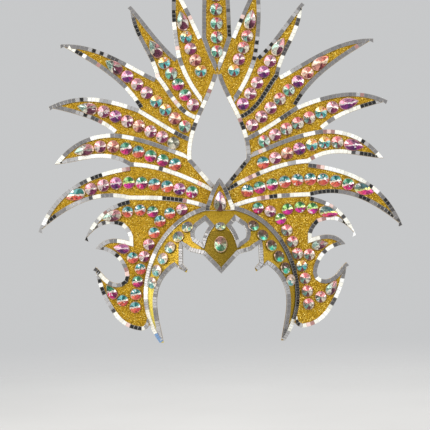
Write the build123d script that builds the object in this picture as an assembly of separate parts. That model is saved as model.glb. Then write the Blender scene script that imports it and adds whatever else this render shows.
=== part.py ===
from build123d import *
import os
from collections import namedtuple
from math import cos, pi, sin, sqrt

os.makedirs("parts", exist_ok=True)

# A showpiece crown: a fan of flat cut feathers with hooked wings, edged with strips of mirror
# tiles and set with rows of stones, on a curved band that goes round the front of the head.
# X is to the right, +Y is to the back, +Z is up. The fan's front face is at y = 0, and the
# origin is midway between the two ends of the band.

# Sizes of the fan
FAN_HALF_WIDTH = 222.0
FAN_HEIGHT = 490.0
PLATE = 3.0
JOIN = 0.3

# Sizes of the band, which is part of a hollow ball that bulges in front of the fan
BAND_HALF_WIDTH = 94.2
BAND_TOP = 167.0
BAND_WAIST = 56.0
BAND_TUCK = 95.0
BAND_BULGE = 39.0
BAND_WALL = 3.0
RIM_OUTSIDE_BALL = 2.8
RIM_CLEARANCE = 0.4
CURVED_SEAT = 0.1

# Sizes of the spire that stands in a socket at the band's top
SPIRE_LENGTH = 39.2
SPIRE_HALF_WIDTH = 17.7
SPIRE_SINK = 6.2
SPIRE_BACK = 3.6
SPIRE_PULLS = (0.111, 0.019)
SPIRE_SHOULDER = 4.0

# Sizes of the mirror strips
STRIP_WIDTH = 5.0
STRIP_THICKNESS = 1.6
FEATHER_TAPER = 30.0
HORN_TAPER = 46.0
TIP_START = 4.0
MITRE_LIMIT = 1.6
STATIONS = 8

# Sizes of the stones
ROUND_STONE = 14.0
BAND_STONE = 12.0
PEAR_LENGTH = 24.0
PEAR_WIDTH = 14.0
SMALL_PEAR_LENGTH = 20.0
SMALL_PEAR_WIDTH = 12.0
OVAL_LENGTH = 20.0
OVAL_WIDTH = 14.0
TOP_STONE_LENGTH = 12.0
TOP_STONE_WIDTH = 10.0
STONE_HEIGHT = 5.0
GIRDLE_HEIGHT = 2.2
TABLE_SHARE = 0.3
CULET_SHARE = 0.5
FACETS = 10
STONE_GAP = 0.35
BAND_STONE_GAP = 3.5
PEAR_GAP = 1.4
SMALL_PEAR_GAP = 0.6

# Feathers from the one beside the middle down to the lowest. The tip is in shares of the fan's
# half width and of its rise above the band's top. A pull draws an edge sideways, in shares of
# its chord, at one third (a) and two thirds (b) of the way from the tip to the notch.
Feather = namedtuple("Feather", "tip_x tip_z upper_a upper_b lower_a lower_b")
FEATHERS = [
    Feather(0.234, 0.847, -0.024, -0.014, +0.057, +0.053),
    Feather(0.470, 0.760, -0.007, +0.050, +0.146, -0.054),
    Feather(0.861, 0.618, -0.145, -0.036, -0.054, -0.122),
    Feather(0.933, 0.383, -0.187, -0.113, -0.038, -0.114),
    Feather(0.904, 0.166, -0.178, -0.175, -0.031, -0.216),
    Feather(1.000, -0.089, -0.235, -0.172, -0.129, -0.219),
]
MIDDLE_PULLS = (0.109, 0.040)

# Seams between neighbours, from the top down: from the notch at the outside to the root at
# the crown's middle. The strip along a seam lies on the feather above it or below it.
Seam = namedtuple("Seam", "notch_x notch_z root_x root_z pull_a pull_b strip_on")
SEAMS = [
    Seam(0.081, 0.633, 0.000, 0.495, +0.019, +0.033, "above"),
    Seam(0.218, 0.557, 0.060, 0.363, +0.077, +0.074, "above"),
    Seam(0.337, 0.484, 0.082, 0.317, +0.039, +0.233, "above"),
    Seam(0.431, 0.370, 0.110, 0.245, +0.009, +0.055, "below"),
    Seam(0.572, 0.279, 0.110, 0.178, -0.070, -0.012, "below"),
    Seam(0.491, 0.153, 0.002, 0.038, -0.104, -0.043, "above"),
]

# The seam below the lowest feather: its notch is a corner of the wing. A wing's places are in
# shares of the fan's reach beyond the band, and of the band's height.
WING_SEAM = Seam(0.128, 1.053, 0.055, -0.018, -0.043, -0.093, "above")

# The teardrop opening at the crown's middle: its apex, its widest corner and its blunt foot.
TEARDROP_APEX = (0.000, 0.492)
TEARDROP_CORNER = (0.151, 0.176)
TEARDROP_FOOT = (0.028, 0.075)
TEARDROP_PULLS = (-0.009, 0.130)

# The wing's outer edge as runs from one corner to the next, down from the lowest notch.
Run = namedtuple("Run", "end_x end_z pull_a pull_b")
HORN_TOP = [
    Run(0.559, 0.760, +0.191, +0.188),
]
UPPER_BAY = [
    Run(0.203, 0.860, -0.231, -0.291),
    Run(0.131, 0.748, -0.113, -0.182),
    Run(0.456, 0.698, +0.181, +0.315),
]
LOWER_BAY = [
    Run(0.182, 0.525, -0.209, -0.230),
    Run(0.260, 0.443, -0.417, -0.413),
    Run(0.462, 0.566, -0.212, +0.006),
]
WING_FOOT = [
    Run(0.303, 0.223, +0.096, +0.090),
    Run(0.031, 0.094, +0.168, +0.160),
    Run(-0.060, 0.176, +0.300, +0.200),
]

# Rows of round stones, from the outermost to the innermost. A pear stone leads the row at an
# angle of turn, in degrees, from the row's own direction.
Row = namedtuple("Row", "first_x first_z last_x last_z pull_a pull_b turn")
MIDDLE_ROW = Row(0.000, 0.845, 0.000, 0.580, 0.0, 0.0, 0.0)
FEATHER_ROWS = [
    Row(0.168, 0.636, 0.091, 0.507, +0.014, +0.035, +8.0),
    Row(0.291, 0.540, 0.137, 0.380, -0.001, +0.039, +2.0),
    Row(0.495, 0.492, 0.185, 0.299, -0.022, +0.015, -1.0),
    Row(0.628, 0.361, 0.249, 0.238, -0.015, -0.028, -10.0),
    Row(0.651, 0.229, 0.242, 0.157, -0.114, -0.020, -7.0),
    Row(0.706, 0.070, 0.152, 0.052, -0.129, -0.070, -1.0),
]
WING_ROWS = [
    Row(0.144, 0.965, -0.094, 0.962, -0.086, -0.087, -1.0),
    Row(-0.258, 0.948, -0.374, 0.974, 0.0, 0.0, None),
    Row(-0.162, 0.892, 0.090, 0.267, +0.070, +0.091, None),
]

# A round stone beside the wing's long row, with a small pear stone next to it. Heading is the
# way from the one to the other, and axis the way that the pear points, both in degrees.
Branch = namedtuple("Branch", "x z heading axis")
BRANCHES = [
    Branch(0.105, 0.628, 41.0, 10.0),
    Branch(0.208, 0.317, 39.0, 57.0),
]

# Corners of the band's inner outline, in shares of its half width and top height.
LOZENGE_TIP = (0.000, 0.511)
BAR_INNER = (0.227, 0.646)
BAR_OUTER = (0.386, 0.669)
NOTCH_APEX = (0.481, 0.708)
HOOK_INNER = (0.484, 0.581)
HOOK_TIP_HIGH = (0.425, 0.546)
HOOK_TIP_LOW = (0.441, 0.520)
LEG_TOP = (0.584, 0.566)
LEG_FOOT = (0.765, 0.000)
LEG_PULLS = (0.318, 0.098)

# Corners of the leaf opening beside the lozenge, in the same shares.
LEAF_TOP = (0.196, 0.886)
LEAF_INNER = (0.140, 0.850)
LEAF_INNER_MIDDLE = (0.202, 0.795)
LEAF_BOTTOM = (0.241, 0.731)
LEAF_OUTER_LOW = (0.318, 0.762)
LEAF_OUTER_MIDDLE = (0.331, 0.802)
LEAF_OUTER_HIGH = (0.291, 0.847)

# Stones on the band, in the same shares.
BAND_ROW = Row(0.419, 0.841, 0.879, 0.446, +0.077, +0.081, None)
TOP_STONE = (0.000, 0.842)
OVAL_STONE = (0.000, 0.714)

# The spire's stone: its height and length in shares of the spire's length, and its width in
# shares of what the strips leave free at the spire's foot.
SPIRE_STONE_HEIGHT = 0.281
SPIRE_STONE_LENGTH = 0.612
SPIRE_STONE_WIDTH = 0.551

# Worked out from the sizes above
fan_rise = FAN_HEIGHT - BAND_TOP
wing_reach = FAN_HALF_WIDTH - BAND_HALF_WIDTH
spire_foot = BAND_TOP - SPIRE_SINK
ball_ring = BAND_HALF_WIDTH + RIM_OUTSIDE_BALL
ball_radius = (ball_ring**2 + BAND_BULGE**2) / (2 * BAND_BULGE)
ball_centre = Vector(0, ball_radius - BAND_BULGE, BAND_TOP + RIM_OUTSIDE_BALL / 2 - ball_ring)
far_away = 2 * (FAN_HALF_WIDTH + FAN_HEIGHT)


# Drawing in the plane of the fan: a drawing's X is the crown's x, and its Y the crown's z

def fan_point(x_share, z_share):
    """A point of the fan, from shares of its half width and of its rise above the band."""
    return Vector(x_share * FAN_HALF_WIDTH, BAND_TOP + z_share * fan_rise)


def wing_point(x_share, z_share):
    """A point of a wing, from shares of its reach beyond the band and of the band's height."""
    return Vector(BAND_HALF_WIDTH + x_share * wing_reach, z_share * BAND_TOP)


def band_point(x_share, z_share):
    """A point of the band, from shares of its half width and top height."""
    return Vector(x_share * BAND_HALF_WIDTH, z_share * BAND_TOP)


def left_of(direction):
    """The unit vector a quarter turn to the left of a direction."""
    return Vector(-direction.Y, direction.X).normalized()


def heading(degrees):
    """The unit vector at an angle from the drawing's X."""
    return Vector(1, 0).rotate(Axis.Z, degrees)


def bowed(start, end, pull_a, pull_b):
    """A curve from start to end, drawn to the left by its two pulls."""
    chord = end - start
    side = Vector(-chord.Y, chord.X)
    guide_a = start + chord / 3 + side * pull_a
    guide_b = start + chord * (2 / 3) + side * pull_b
    return Bezier(start, guide_a, guide_b, end)


def curves_along(start, runs):
    """The joined curves of a list of the wing's runs."""
    curves = []
    for run in runs:
        end = wing_point(run.end_x, run.end_z)
        curves.append(bowed(start, end, run.pull_a, run.pull_b))
        start = end
    return curves


def seam_curve(seam, shift=0.0):
    """A seam from its notch to its root, moved towards the feather below it."""
    notch_point = wing_point if seam is WING_SEAM else fan_point
    notch, root = notch_point(seam.notch_x, seam.notch_z), fan_point(seam.root_x, seam.root_z)
    step = left_of(root - notch) * shift
    return bowed(notch + step, root + step, seam.pull_a, seam.pull_b)


def mirrored(edges):
    """Edges with their mirror images on the other side of the middle line."""
    return edges + [mirror(edge, about=Plane.YZ) for edge in edges]


# Solids from drawings

def slab(face, back, thickness):
    """A drawn face as a solid: its back lies at y = back and its front nearer the viewer."""
    return extrude(Plane.XZ.offset(-back) * face, thickness, dir=(0, -1, 0))


def through(face):
    """A drawn face as a cutter that goes through everything."""
    return slab(face, far_away, 2 * far_away)


def right_half(solid):
    """What lies right of the middle line, with half a join kept clear of it."""
    left_side = Box(far_away, far_away, far_away, align=(Align.MAX, Align.CENTER, Align.CENTER))
    return solid - Pos(JOIN / 2, 0, 0) * left_side


def save(name, solids):
    """Writes one sub-part."""
    pieces = [piece for shape in solids for piece in shape.solids()]
    export_step(Compound(children=pieces), "parts/" + name + ".step")


def save_pair(name, solids):
    """Writes a sub-part of the right side, and its mirror image on the left."""
    save(name.format("right"), solids)
    save(name.format("left"), [mirror(solid, about=Plane.YZ) for solid in solids])


# Mirror strips

def strip(curves, side, start_taper=0.0, end_taper=0.0, near=JOIN / 2, far=STRIP_WIDTH):
    """A strip of tiles along joined curves, on their left (side +1) or right (side -1). Where
    two strips run into a tip, each starts a little way from it and narrows over its taper."""
    length = sum(curve.length for curve in curves)
    start_run = TIP_START if start_taper else 0.0
    end_run = TIP_START if end_taper else 0.0
    edges, near_ends, far_ends = [], [], []
    before = 0.0
    for number, curve in enumerate(curves):
        low = start_run / curve.length if number == 0 else 0.0
        high = 1 - end_run / curve.length if number == len(curves) - 1 else 1.0
        near_points, far_points = [], []
        for step in range(STATIONS + 1):
            share = low + (high - low) * step / STATIONS
            travelled = before + share * curve.length
            width = far
            if start_taper:
                width = min(width, far * travelled / start_taper)
            if end_taper:
                width = min(width, far * (length - travelled) / end_taper)
            outward = left_of(curve % share)
            if step == 0 and number > 0:
                outward = corner_direction(outward, left_of(curves[number - 1] % 1))
            if step == STATIONS and number < len(curves) - 1:
                outward = corner_direction(outward, left_of(curves[number + 1] % 0))
            near_points.append((curve @ share) + outward * (side * near))
            far_points.append((curve @ share) + outward * (side * width))
        if curve.geom_type == GeomType.LINE:
            edges += [Line(near_points[0], near_points[-1]), Line(far_points[0], far_points[-1])]
        else:
            edges += [Spline(*near_points), Spline(*far_points)]
        near_ends += [near_points[0], near_points[-1]]
        far_ends += [far_points[0], far_points[-1]]
        before += curve.length
    edges += [Line(near_ends[0], far_ends[0]), Line(near_ends[-1], far_ends[-1])]
    return make_face(edges)


def corner_direction(one, other):
    """The way to a strip's corner: between two directions, and longer the more it turns, up to
    a limit."""
    between = (one + other).normalized()
    return between * min(MITRE_LIMIT, 1 / between.dot(one))


def tiles(face, back=0.0):
    """A drawn strip as a solid on a flat face."""
    return slab(face, back, STRIP_THICKNESS)


# Stones

def cut_stone(points):
    """A stone with a small foot, a girdle and a table, joined by flat facets."""
    levels = [(CULET_SHARE, 0.0), (1.0, GIRDLE_HEIGHT), (TABLE_SHARE, STONE_HEIGHT)]
    loops = []
    for share, height in levels:
        loops.append([Vector(x * share, y * share, height) for x, y in points])
    facets = [loops[0], loops[-1]]
    for low, high in zip(loops, loops[1:]):
        for number in range(len(points)):
            facets.append([low[number - 1], low[number], high[number], high[number - 1]])
    return Solid(Shell([Face(Wire.make_polygon(corners)) for corners in facets]))


def oval_points(length, width):
    """Corners of a round or oval stone's girdle."""
    angles = [2 * pi * (number + 0.5) / FACETS for number in range(FACETS)]
    return [(length / 2 * cos(angle), width / 2 * sin(angle)) for angle in angles]


def pear_points(length, width):
    """Corners of a pear stone's girdle, with its point towards +X. Its width follows
    sin(a) sin(a / 2), which is largest where cos(a / 2) squared is a third."""
    largest = 4 / (3 * sqrt(3))
    angles = [2 * pi * number / FACETS for number in range(FACETS)]
    return [
        (length / 2 * cos(angle), width / 2 * sin(angle) * sin(angle / 2) / largest)
        for angle in angles
    ]


round_stone = cut_stone(oval_points(ROUND_STONE, ROUND_STONE))
band_stone = cut_stone(oval_points(BAND_STONE, BAND_STONE))
oval_stone = cut_stone(oval_points(OVAL_LENGTH, OVAL_WIDTH))
top_stone = cut_stone(oval_points(TOP_STONE_LENGTH, TOP_STONE_WIDTH))
pear_stone = cut_stone(pear_points(PEAR_LENGTH, PEAR_WIDTH))
small_pear_stone = cut_stone(pear_points(SMALL_PEAR_LENGTH, SMALL_PEAR_WIDTH))


def on_fan(stone, place, along=Vector(1, 0), seat=0.0):
    """A stone on a flat face at y = seat, with its length along a direction."""
    origin = (place.X, seat, place.Y)
    return Plane(origin=origin, x_dir=(along.X, 0, along.Y), z_dir=(0, -1, 0)) * stone


def on_band(stone, place, along=Vector(1, 0, 0)):
    """A stone on the outside of the ball, with its length along a direction."""
    reach = ball_radius + CURVED_SEAT
    height = place.Y - ball_centre.Z
    out = Vector(place.X, -sqrt(reach**2 - place.X**2 - height**2), height) / reach
    flat_along = along - out * along.dot(out)
    return Plane(origin=ball_centre + out * reach, x_dir=flat_along, z_dir=out) * stone


def stone_row(row, point=fan_point):
    """Round stones spaced evenly along a row, as many as fit, led by a pear stone."""
    first, last = point(row.first_x, row.first_z), point(row.last_x, row.last_z)
    path = bowed(first, last, row.pull_a, row.pull_b)
    steps = max(1, int(path.length / (ROUND_STONE + STONE_GAP)))
    stones = [on_fan(round_stone, path @ (number / steps)) for number in range(steps + 1)]
    if row.turn is not None:
        along = -(path % 0).rotate(Axis.Z, row.turn)
        step = (PEAR_LENGTH + ROUND_STONE) / 2 + PEAR_GAP
        stones.append(on_fan(pear_stone, first + along * step, along))
    return stones


def branch_stones(branch):
    """A round stone with a small pear stone next to it."""
    place = wing_point(branch.x, branch.z)
    step = (SMALL_PEAR_LENGTH + ROUND_STONE) / 2 + SMALL_PEAR_GAP
    pear_place = place + heading(branch.heading) * step
    pear = on_fan(small_pear_stone, pear_place, heading(branch.axis))
    return [on_fan(round_stone, place), pear]


# Outlines that several pieces share

def rim_face(inset):
    """The whole area inside the band's rim: half an ellipse above its waist and half below."""
    across = BAND_HALF_WIDTH - inset
    above = Rectangle(3 * across, far_away, align=(Align.CENTER, Align.MIN))
    below = Rectangle(3 * across, far_away, align=(Align.CENTER, Align.MAX))
    upper = Ellipse(across, BAND_TOP - BAND_WAIST - inset) & above
    lower = Ellipse(across, BAND_TUCK - inset) & below
    return Pos(0, BAND_WAIST) * (upper + lower)


def teardrop_curves():
    """The right side of the teardrop opening: its curve, and its straight run to the foot."""
    apex, corner = fan_point(*TEARDROP_APEX), fan_point(*TEARDROP_CORNER)
    return [bowed(apex, corner, *TEARDROP_PULLS), Line(corner, fan_point(*TEARDROP_FOOT))]


def teardrop_face():
    """The whole teardrop opening."""
    foot = fan_point(*TEARDROP_FOOT)
    return make_face(mirrored(teardrop_curves()) + [Line(foot, Vector(-foot.X, foot.Y))])


rim_cutter = through(rim_face(-RIM_CLEARANCE))
teardrop_cutter = through(teardrop_face())
teardrop_strip_cutter = through(strip(teardrop_curves(), +1, near=-JOIN, far=STRIP_WIDTH + JOIN))
strip_cutter = teardrop_cutter + teardrop_strip_cutter + rim_cutter

# The strip round the teardrop opening
teardrop_strip = right_half(tiles(strip(teardrop_curves(), +1)))
save("teardrop_strip", [teardrop_strip, mirror(teardrop_strip, about=Plane.YZ)])

# The middle feather
middle_curves = [
    bowed(fan_point(0, 1), seam_curve(SEAMS[0]) @ 0, *MIDDLE_PULLS),
    seam_curve(SEAMS[0]),
]
save("feather_middle", [slab(make_face(mirrored(middle_curves)), PLATE, PLATE)])
middle_strip = tiles(strip(middle_curves, -1, FEATHER_TAPER, FEATHER_TAPER)) - strip_cutter
save("feather_strip_middle", [middle_strip, mirror(middle_strip, about=Plane.YZ)])
save("feather_stones_middle", stone_row(MIDDLE_ROW))


# The side feathers: each lies between the seam above it and the seam below it

def side_feather(number):
    """A feather's plate and its two strips."""
    feather = FEATHERS[number]
    seam_above, seam_below = (SEAMS + [WING_SEAM])[number:number + 2]
    tip = fan_point(feather.tip_x, feather.tip_z)
    upper_seam, lower_seam = seam_curve(seam_above, JOIN), seam_curve(seam_below)
    upper_edge = bowed(tip, upper_seam @ 0, feather.upper_a, feather.upper_b)
    lower_edge = bowed(tip, lower_seam @ 0, feather.lower_a, feather.lower_b)
    middle = Vector(JOIN / 2, ((upper_seam @ 1).Y + (lower_seam @ 1).Y) / 2)
    inner_edges = [Line(upper_seam @ 1, middle), Line(middle, lower_seam @ 1)]
    face = make_face([upper_edge, upper_seam, *inner_edges, lower_seam, lower_edge])
    plate = slab(face, PLATE, PLATE) - teardrop_cutter - rim_cutter
    upper_path = [upper_edge] + ([upper_seam] if seam_above.strip_on == "below" else [])
    lower_path = [lower_edge] + ([lower_seam] if seam_below.strip_on == "above" else [])
    upper_strip = tiles(strip(upper_path, +1, FEATHER_TAPER)) - strip_cutter
    lower_strip = tiles(strip(lower_path, -1, FEATHER_TAPER)) - strip_cutter
    return plate, [right_half(upper_strip), right_half(lower_strip)]


for number, row in enumerate(FEATHER_ROWS):
    plate, strips = side_feather(number)
    place = "{}_" + str(number + 1)
    save_pair("feather_" + place, [plate])
    save_pair("feather_strip_" + place, strips)
    save_pair("feather_stones_" + place, stone_row(row))


# The wings, which lie below the lowest seam and outside the band's rim

def wing():
    """A wing's plate and its strips."""
    top_seam = seam_curve(WING_SEAM, JOIN)
    horn_top = curves_along(top_seam @ 0, HORN_TOP)
    upper_bay = curves_along(horn_top[-1] @ 1, UPPER_BAY)
    lower_bay = curves_along(upper_bay[-1] @ 1, LOWER_BAY)
    foot = curves_along(lower_bay[-1] @ 1, WING_FOOT)
    inside_rim = rim_face(0).center()
    closing = [Line(foot[-1] @ 1, inside_rim), Line(inside_rim, top_seam @ 1)]
    face = make_face([*horn_top, *upper_bay, *lower_bay, *foot, *closing, top_seam])
    plate = slab(face, PLATE, PLATE) - rim_cutter
    strips = [
        tiles(strip(horn_top, -1, 0, HORN_TAPER)),
        tiles(strip(upper_bay, -1, HORN_TAPER, HORN_TAPER)),
        tiles(strip(lower_bay, -1, HORN_TAPER, HORN_TAPER)),
        tiles(strip(foot, -1, HORN_TAPER)) - rim_cutter,
    ]
    return plate, strips


wing_plate, wing_strips = wing()
wing_stones = [stone for row in WING_ROWS for stone in stone_row(row, wing_point)]
wing_stones += [stone for branch in BRANCHES for stone in branch_stones(branch)]
save_pair("wing_{}", [wing_plate])
save_pair("wing_strip_{}", wing_strips)
save_pair("wing_stones_{}", wing_stones)


# The band: an outline seen from the front, carried back onto the wall of a hollow ball

def shell(inner_radius, outer_radius):
    """The ball's wall between two radii, in front of its centre."""
    wall = Sphere(outer_radius) - Sphere(inner_radius)
    front = Box(far_away, ball_radius, far_away, align=(Align.CENTER, Align.MAX, Align.CENTER))
    return Pos(ball_centre.X, ball_centre.Y, ball_centre.Z) * (wall & front)


def leaf_edges():
    """The outline of the opening beside the lozenge: two arcs with short straight ends."""
    top, inner, bottom = (band_point(*at) for at in (LEAF_TOP, LEAF_INNER, LEAF_BOTTOM))
    low, high = band_point(*LEAF_OUTER_LOW), band_point(*LEAF_OUTER_HIGH)
    inner_arc = ThreePointArc(inner, band_point(*LEAF_INNER_MIDDLE), bottom)
    outer_arc = ThreePointArc(low, band_point(*LEAF_OUTER_MIDDLE), high)
    return [Line(top, inner), inner_arc, Line(bottom, low), outer_arc, Line(high, top)]


def head_gap_paths():
    """The right side of the band's inner outline as three joined runs: from the lozenge's tip to
    the hook's tip, the blunt end of the hook, and from there down the leg."""
    tip, bar_inner, bar_outer = (band_point(*at) for at in (LOZENGE_TIP, BAR_INNER, BAR_OUTER))
    apex, hook_inner = band_point(*NOTCH_APEX), band_point(*HOOK_INNER)
    hook_high, hook_low = band_point(*HOOK_TIP_HIGH), band_point(*HOOK_TIP_LOW)
    leg_top, foot = band_point(*LEG_TOP), band_point(*LEG_FOOT)
    upper_corners = [tip, bar_inner, bar_outer, apex, hook_inner, hook_high]
    upper = [Line(start, end) for start, end in zip(upper_corners, upper_corners[1:])]
    blunt_end = [Line(hook_high, hook_low)]
    leg = [Line(hook_low, leg_top), bowed(leg_top, foot, *LEG_PULLS)]
    return upper, blunt_end, leg


def band_outline():
    """The band seen from the front: the rim's area less the gap for the head, the openings
    beside the lozenge and the socket for the spire's foot."""
    upper, blunt_end, leg = head_gap_paths()
    foot = leg[-1] @ 1
    below = Vector(foot.X, -BAND_TOP)
    right_side = [*upper, *blunt_end, *leg, Line(foot, below)]
    head_gap = make_face(mirrored(right_side) + [Line(below, Vector(-below.X, below.Y))])
    above_ends = Rectangle(far_away, BAND_TOP, align=(Align.CENTER, Align.MIN))
    socket_width = 2 * (SPIRE_HALF_WIDTH + JOIN)
    socket = Rectangle(socket_width, BAND_TOP, align=(Align.CENTER, Align.MIN))
    leaf = make_face(leaf_edges())
    outline = (rim_face(0) & above_ends) - head_gap - leaf - mirror(leaf, about=Plane.YZ)
    return outline - Pos(0, spire_foot - JOIN) * socket


outline = band_outline()
tile_shell = shell(ball_radius + CURVED_SEAT, ball_radius + CURVED_SEAT + STRIP_THICKNESS)
save("band", [through(outline) & shell(ball_radius - BAND_WALL, ball_radius)])

# The strip along the band's rim, and the strips along its inner outline and its openings
rim_ring = (rim_face(JOIN / 2) - rim_face(STRIP_WIDTH)) & outline
rim_strip = right_half(through(rim_ring) & tile_shell)
save("band_rim_strip", [rim_strip, mirror(rim_strip, about=Plane.YZ)])

edges = leaf_edges()
ring_faces = [strip([edge, following], -1) for edge, following in zip(edges, edges[1:] + edges[:1])]
ring_faces += [strip(path, +1) for path in head_gap_paths()]
inner_ring = (Sketch() + ring_faces) & outline & rim_face(STRIP_WIDTH + JOIN)
inner_strip = right_half(through(inner_ring) & tile_shell)
save("band_inner_strip", [inner_strip, mirror(inner_strip, about=Plane.YZ)])

# The stones on the band
row_start = band_point(BAND_ROW.first_x, BAND_ROW.first_z)
row_end = band_point(BAND_ROW.last_x, BAND_ROW.last_z)
band_path = bowed(row_start, row_end, BAND_ROW.pull_a, BAND_ROW.pull_b)
band_steps = max(1, int(band_path.length / (BAND_STONE + BAND_STONE_GAP)))
band_stones = [on_band(band_stone, band_path @ (n / band_steps)) for n in range(band_steps + 1)]
save_pair("band_stones_{}", band_stones)
save("top_stone", [on_band(top_stone, band_point(*TOP_STONE))])
save("oval_stone", [on_band(oval_stone, band_point(*OVAL_STONE), Vector(0, 0, 1))])

# The spire: a pointed plate that stands in the socket, in front of the fan
spire_corner = Vector(SPIRE_HALF_WIDTH, spire_foot + SPIRE_SHOULDER)
spire_base = Vector(SPIRE_HALF_WIDTH, spire_foot)
spire_curves = [
    bowed(Vector(0, spire_foot + SPIRE_LENGTH), spire_corner, *SPIRE_PULLS),
    Line(spire_corner, spire_base),
]
spire_bottom = Line(spire_base, Vector(-SPIRE_HALF_WIDTH, spire_foot))
spire_front = -SPIRE_BACK - PLATE
save("spire", [slab(make_face(mirrored(spire_curves) + [spire_bottom]), -SPIRE_BACK, PLATE)])
spire_strip = right_half(tiles(strip(spire_curves, -1), spire_front))
save("spire_strip", [spire_strip, mirror(spire_strip, about=Plane.YZ)])
free_width = 2 * (SPIRE_HALF_WIDTH - STRIP_WIDTH)
stone_size = (SPIRE_STONE_LENGTH * SPIRE_LENGTH, SPIRE_STONE_WIDTH * free_width)
spire_stone = cut_stone(pear_points(*stone_size))
stone_place = Vector(0, spire_foot + SPIRE_STONE_HEIGHT * SPIRE_LENGTH)
save("spire_stone", [on_fan(spire_stone, stone_place, Vector(0, 1), spire_front)])
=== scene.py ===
# %% [markdown]
# A feather crown in Blender.
#
# The crown is a fan of flat blades cut from glitter sheet, with strips of mirror tiles and rows
# of stones. Its construction is already fixed: a frame holds every plate, strip and stone at its
# real size and place. Its looks could be modelled by hand on top of that, but then any change of
# size would mean modelling them again. Here they are worked out from the frame with numpy, as
# whole arrays, so the script gives the same crown each time it runs.

# %% Load the frame
from math import pi, radians

import bpy
import numpy as np
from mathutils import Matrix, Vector


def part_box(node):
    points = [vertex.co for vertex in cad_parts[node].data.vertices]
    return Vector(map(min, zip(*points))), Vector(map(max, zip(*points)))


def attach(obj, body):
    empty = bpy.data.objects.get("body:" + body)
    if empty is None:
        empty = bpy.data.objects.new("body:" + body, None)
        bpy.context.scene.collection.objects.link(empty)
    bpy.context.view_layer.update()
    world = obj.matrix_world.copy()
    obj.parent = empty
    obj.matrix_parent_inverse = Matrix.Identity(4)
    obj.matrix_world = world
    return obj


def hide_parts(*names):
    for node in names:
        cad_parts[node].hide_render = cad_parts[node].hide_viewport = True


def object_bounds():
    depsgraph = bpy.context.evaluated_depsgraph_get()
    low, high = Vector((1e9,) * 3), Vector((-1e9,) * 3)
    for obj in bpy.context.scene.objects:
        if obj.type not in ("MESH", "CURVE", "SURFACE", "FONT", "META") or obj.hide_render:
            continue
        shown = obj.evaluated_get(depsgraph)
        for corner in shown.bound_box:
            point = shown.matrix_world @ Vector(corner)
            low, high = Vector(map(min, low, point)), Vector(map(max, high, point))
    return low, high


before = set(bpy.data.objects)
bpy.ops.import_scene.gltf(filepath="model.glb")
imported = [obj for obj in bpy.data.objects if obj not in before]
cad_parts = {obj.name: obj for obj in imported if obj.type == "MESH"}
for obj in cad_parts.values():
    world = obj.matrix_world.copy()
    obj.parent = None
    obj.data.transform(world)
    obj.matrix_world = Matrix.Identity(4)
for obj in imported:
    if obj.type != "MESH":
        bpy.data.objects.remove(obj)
bpy.context.view_layer.update()
cad_box = [list(corner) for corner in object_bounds()]
MM = 0.001
MICRON = 1e-6
rng = np.random.default_rng(29)
print("the frame holds", len(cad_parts), "nodes in", cad_box)

# %% [markdown]
# Tiles and stones have to meet the plates to a fraction of a millimetre. Their places could be
# typed in, but then they would miss the plates as soon as the crown is made larger. So sizes are
# read from the frame where it can give them: the fan spans the widest and the highest feather,
# and the spire stands a little below the band's top edge. The rest are the sizes of the strips
# and of the ball whose wall the band is.

# %% Sizes
fan_half_width = cad_box[1][0]
fan_height = cad_box[1][2]
band_half_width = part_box("band")[1].x
spire_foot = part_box("spire")[0].z
spire_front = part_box("spire")[0].y
spire_half_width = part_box("spire")[1].x
spire_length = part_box("spire")[1].z - spire_foot
# The band: its top above the spire's foot, the height of its waist, how far its ellipse reaches
# below the waist, how far it bulges forward, and how far the ball's ring reaches beyond its rim.
SPIRE_SINK = 6.2 * MM
BAND_WAIST = 56.0 * MM
BAND_TUCK = 95.0 * MM
BAND_BULGE = 39.0 * MM
BALL_BEYOND_RIM = 2.8 * MM
# The strips: their width, the joint between two, the gap outside the rim, and the glue under the
# tiles on the ball.
STRIP_WIDTH = 5.0 * MM
JOIN = 0.3 * MM
RIM_CLEARANCE = 0.4 * MM
CURVED_SEAT = 0.1 * MM
band_top = spire_foot + SPIRE_SINK
fan_rise = fan_height - band_top
wing_reach = fan_half_width - band_half_width
ball_ring = band_half_width + BALL_BEYOND_RIM
ball_radius = (ball_ring**2 + BAND_BULGE**2) / (2 * BAND_BULGE)
ball_centre = np.array([0.0, ball_radius - BAND_BULGE, band_top + BALL_BEYOND_RIM / 2 - ball_ring])
print("the fan is", round(2 * fan_half_width, 3), "by", round(fan_height, 3), "m")

# %% [markdown]
# The plates are cut from templates. A template could be a list of points in millimetres, but in
# shares of the width and the height it stretches with the crown. So three rulers turn shares
# into metres: one for the fan, one for the wings and one for the band.

# %% Rulers
def fan(x_share, z_share):
    """A point of the fan: x is a share of its half width, z of its rise above the band."""
    return np.array([x_share * fan_half_width, band_top + z_share * fan_rise])


def wing(x_share, z_share):
    """A point of a wing: x is a share of its reach beyond the band, z of the band's height."""
    return np.array([band_half_width + x_share * wing_reach, z_share * band_top])


def band(x_share, z_share):
    """A point of the band: x is a share of its half width, z of its height."""
    return np.array([x_share * band_half_width, z_share * band_top])


print("the middle feather's tip is at", fan(0, 1).round(3).tolist())

# %% [markdown]
# Every edge of a plate is one sweep from corner to corner. Blender's curve objects could draw
# it, but tiles are cut along it, and that is easier on a plain array of points. So an edge is a
# cubic curve drawn sideways by two pulls, and all its points are worked out at once.

# %% Curves
STEPS = 160


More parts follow.
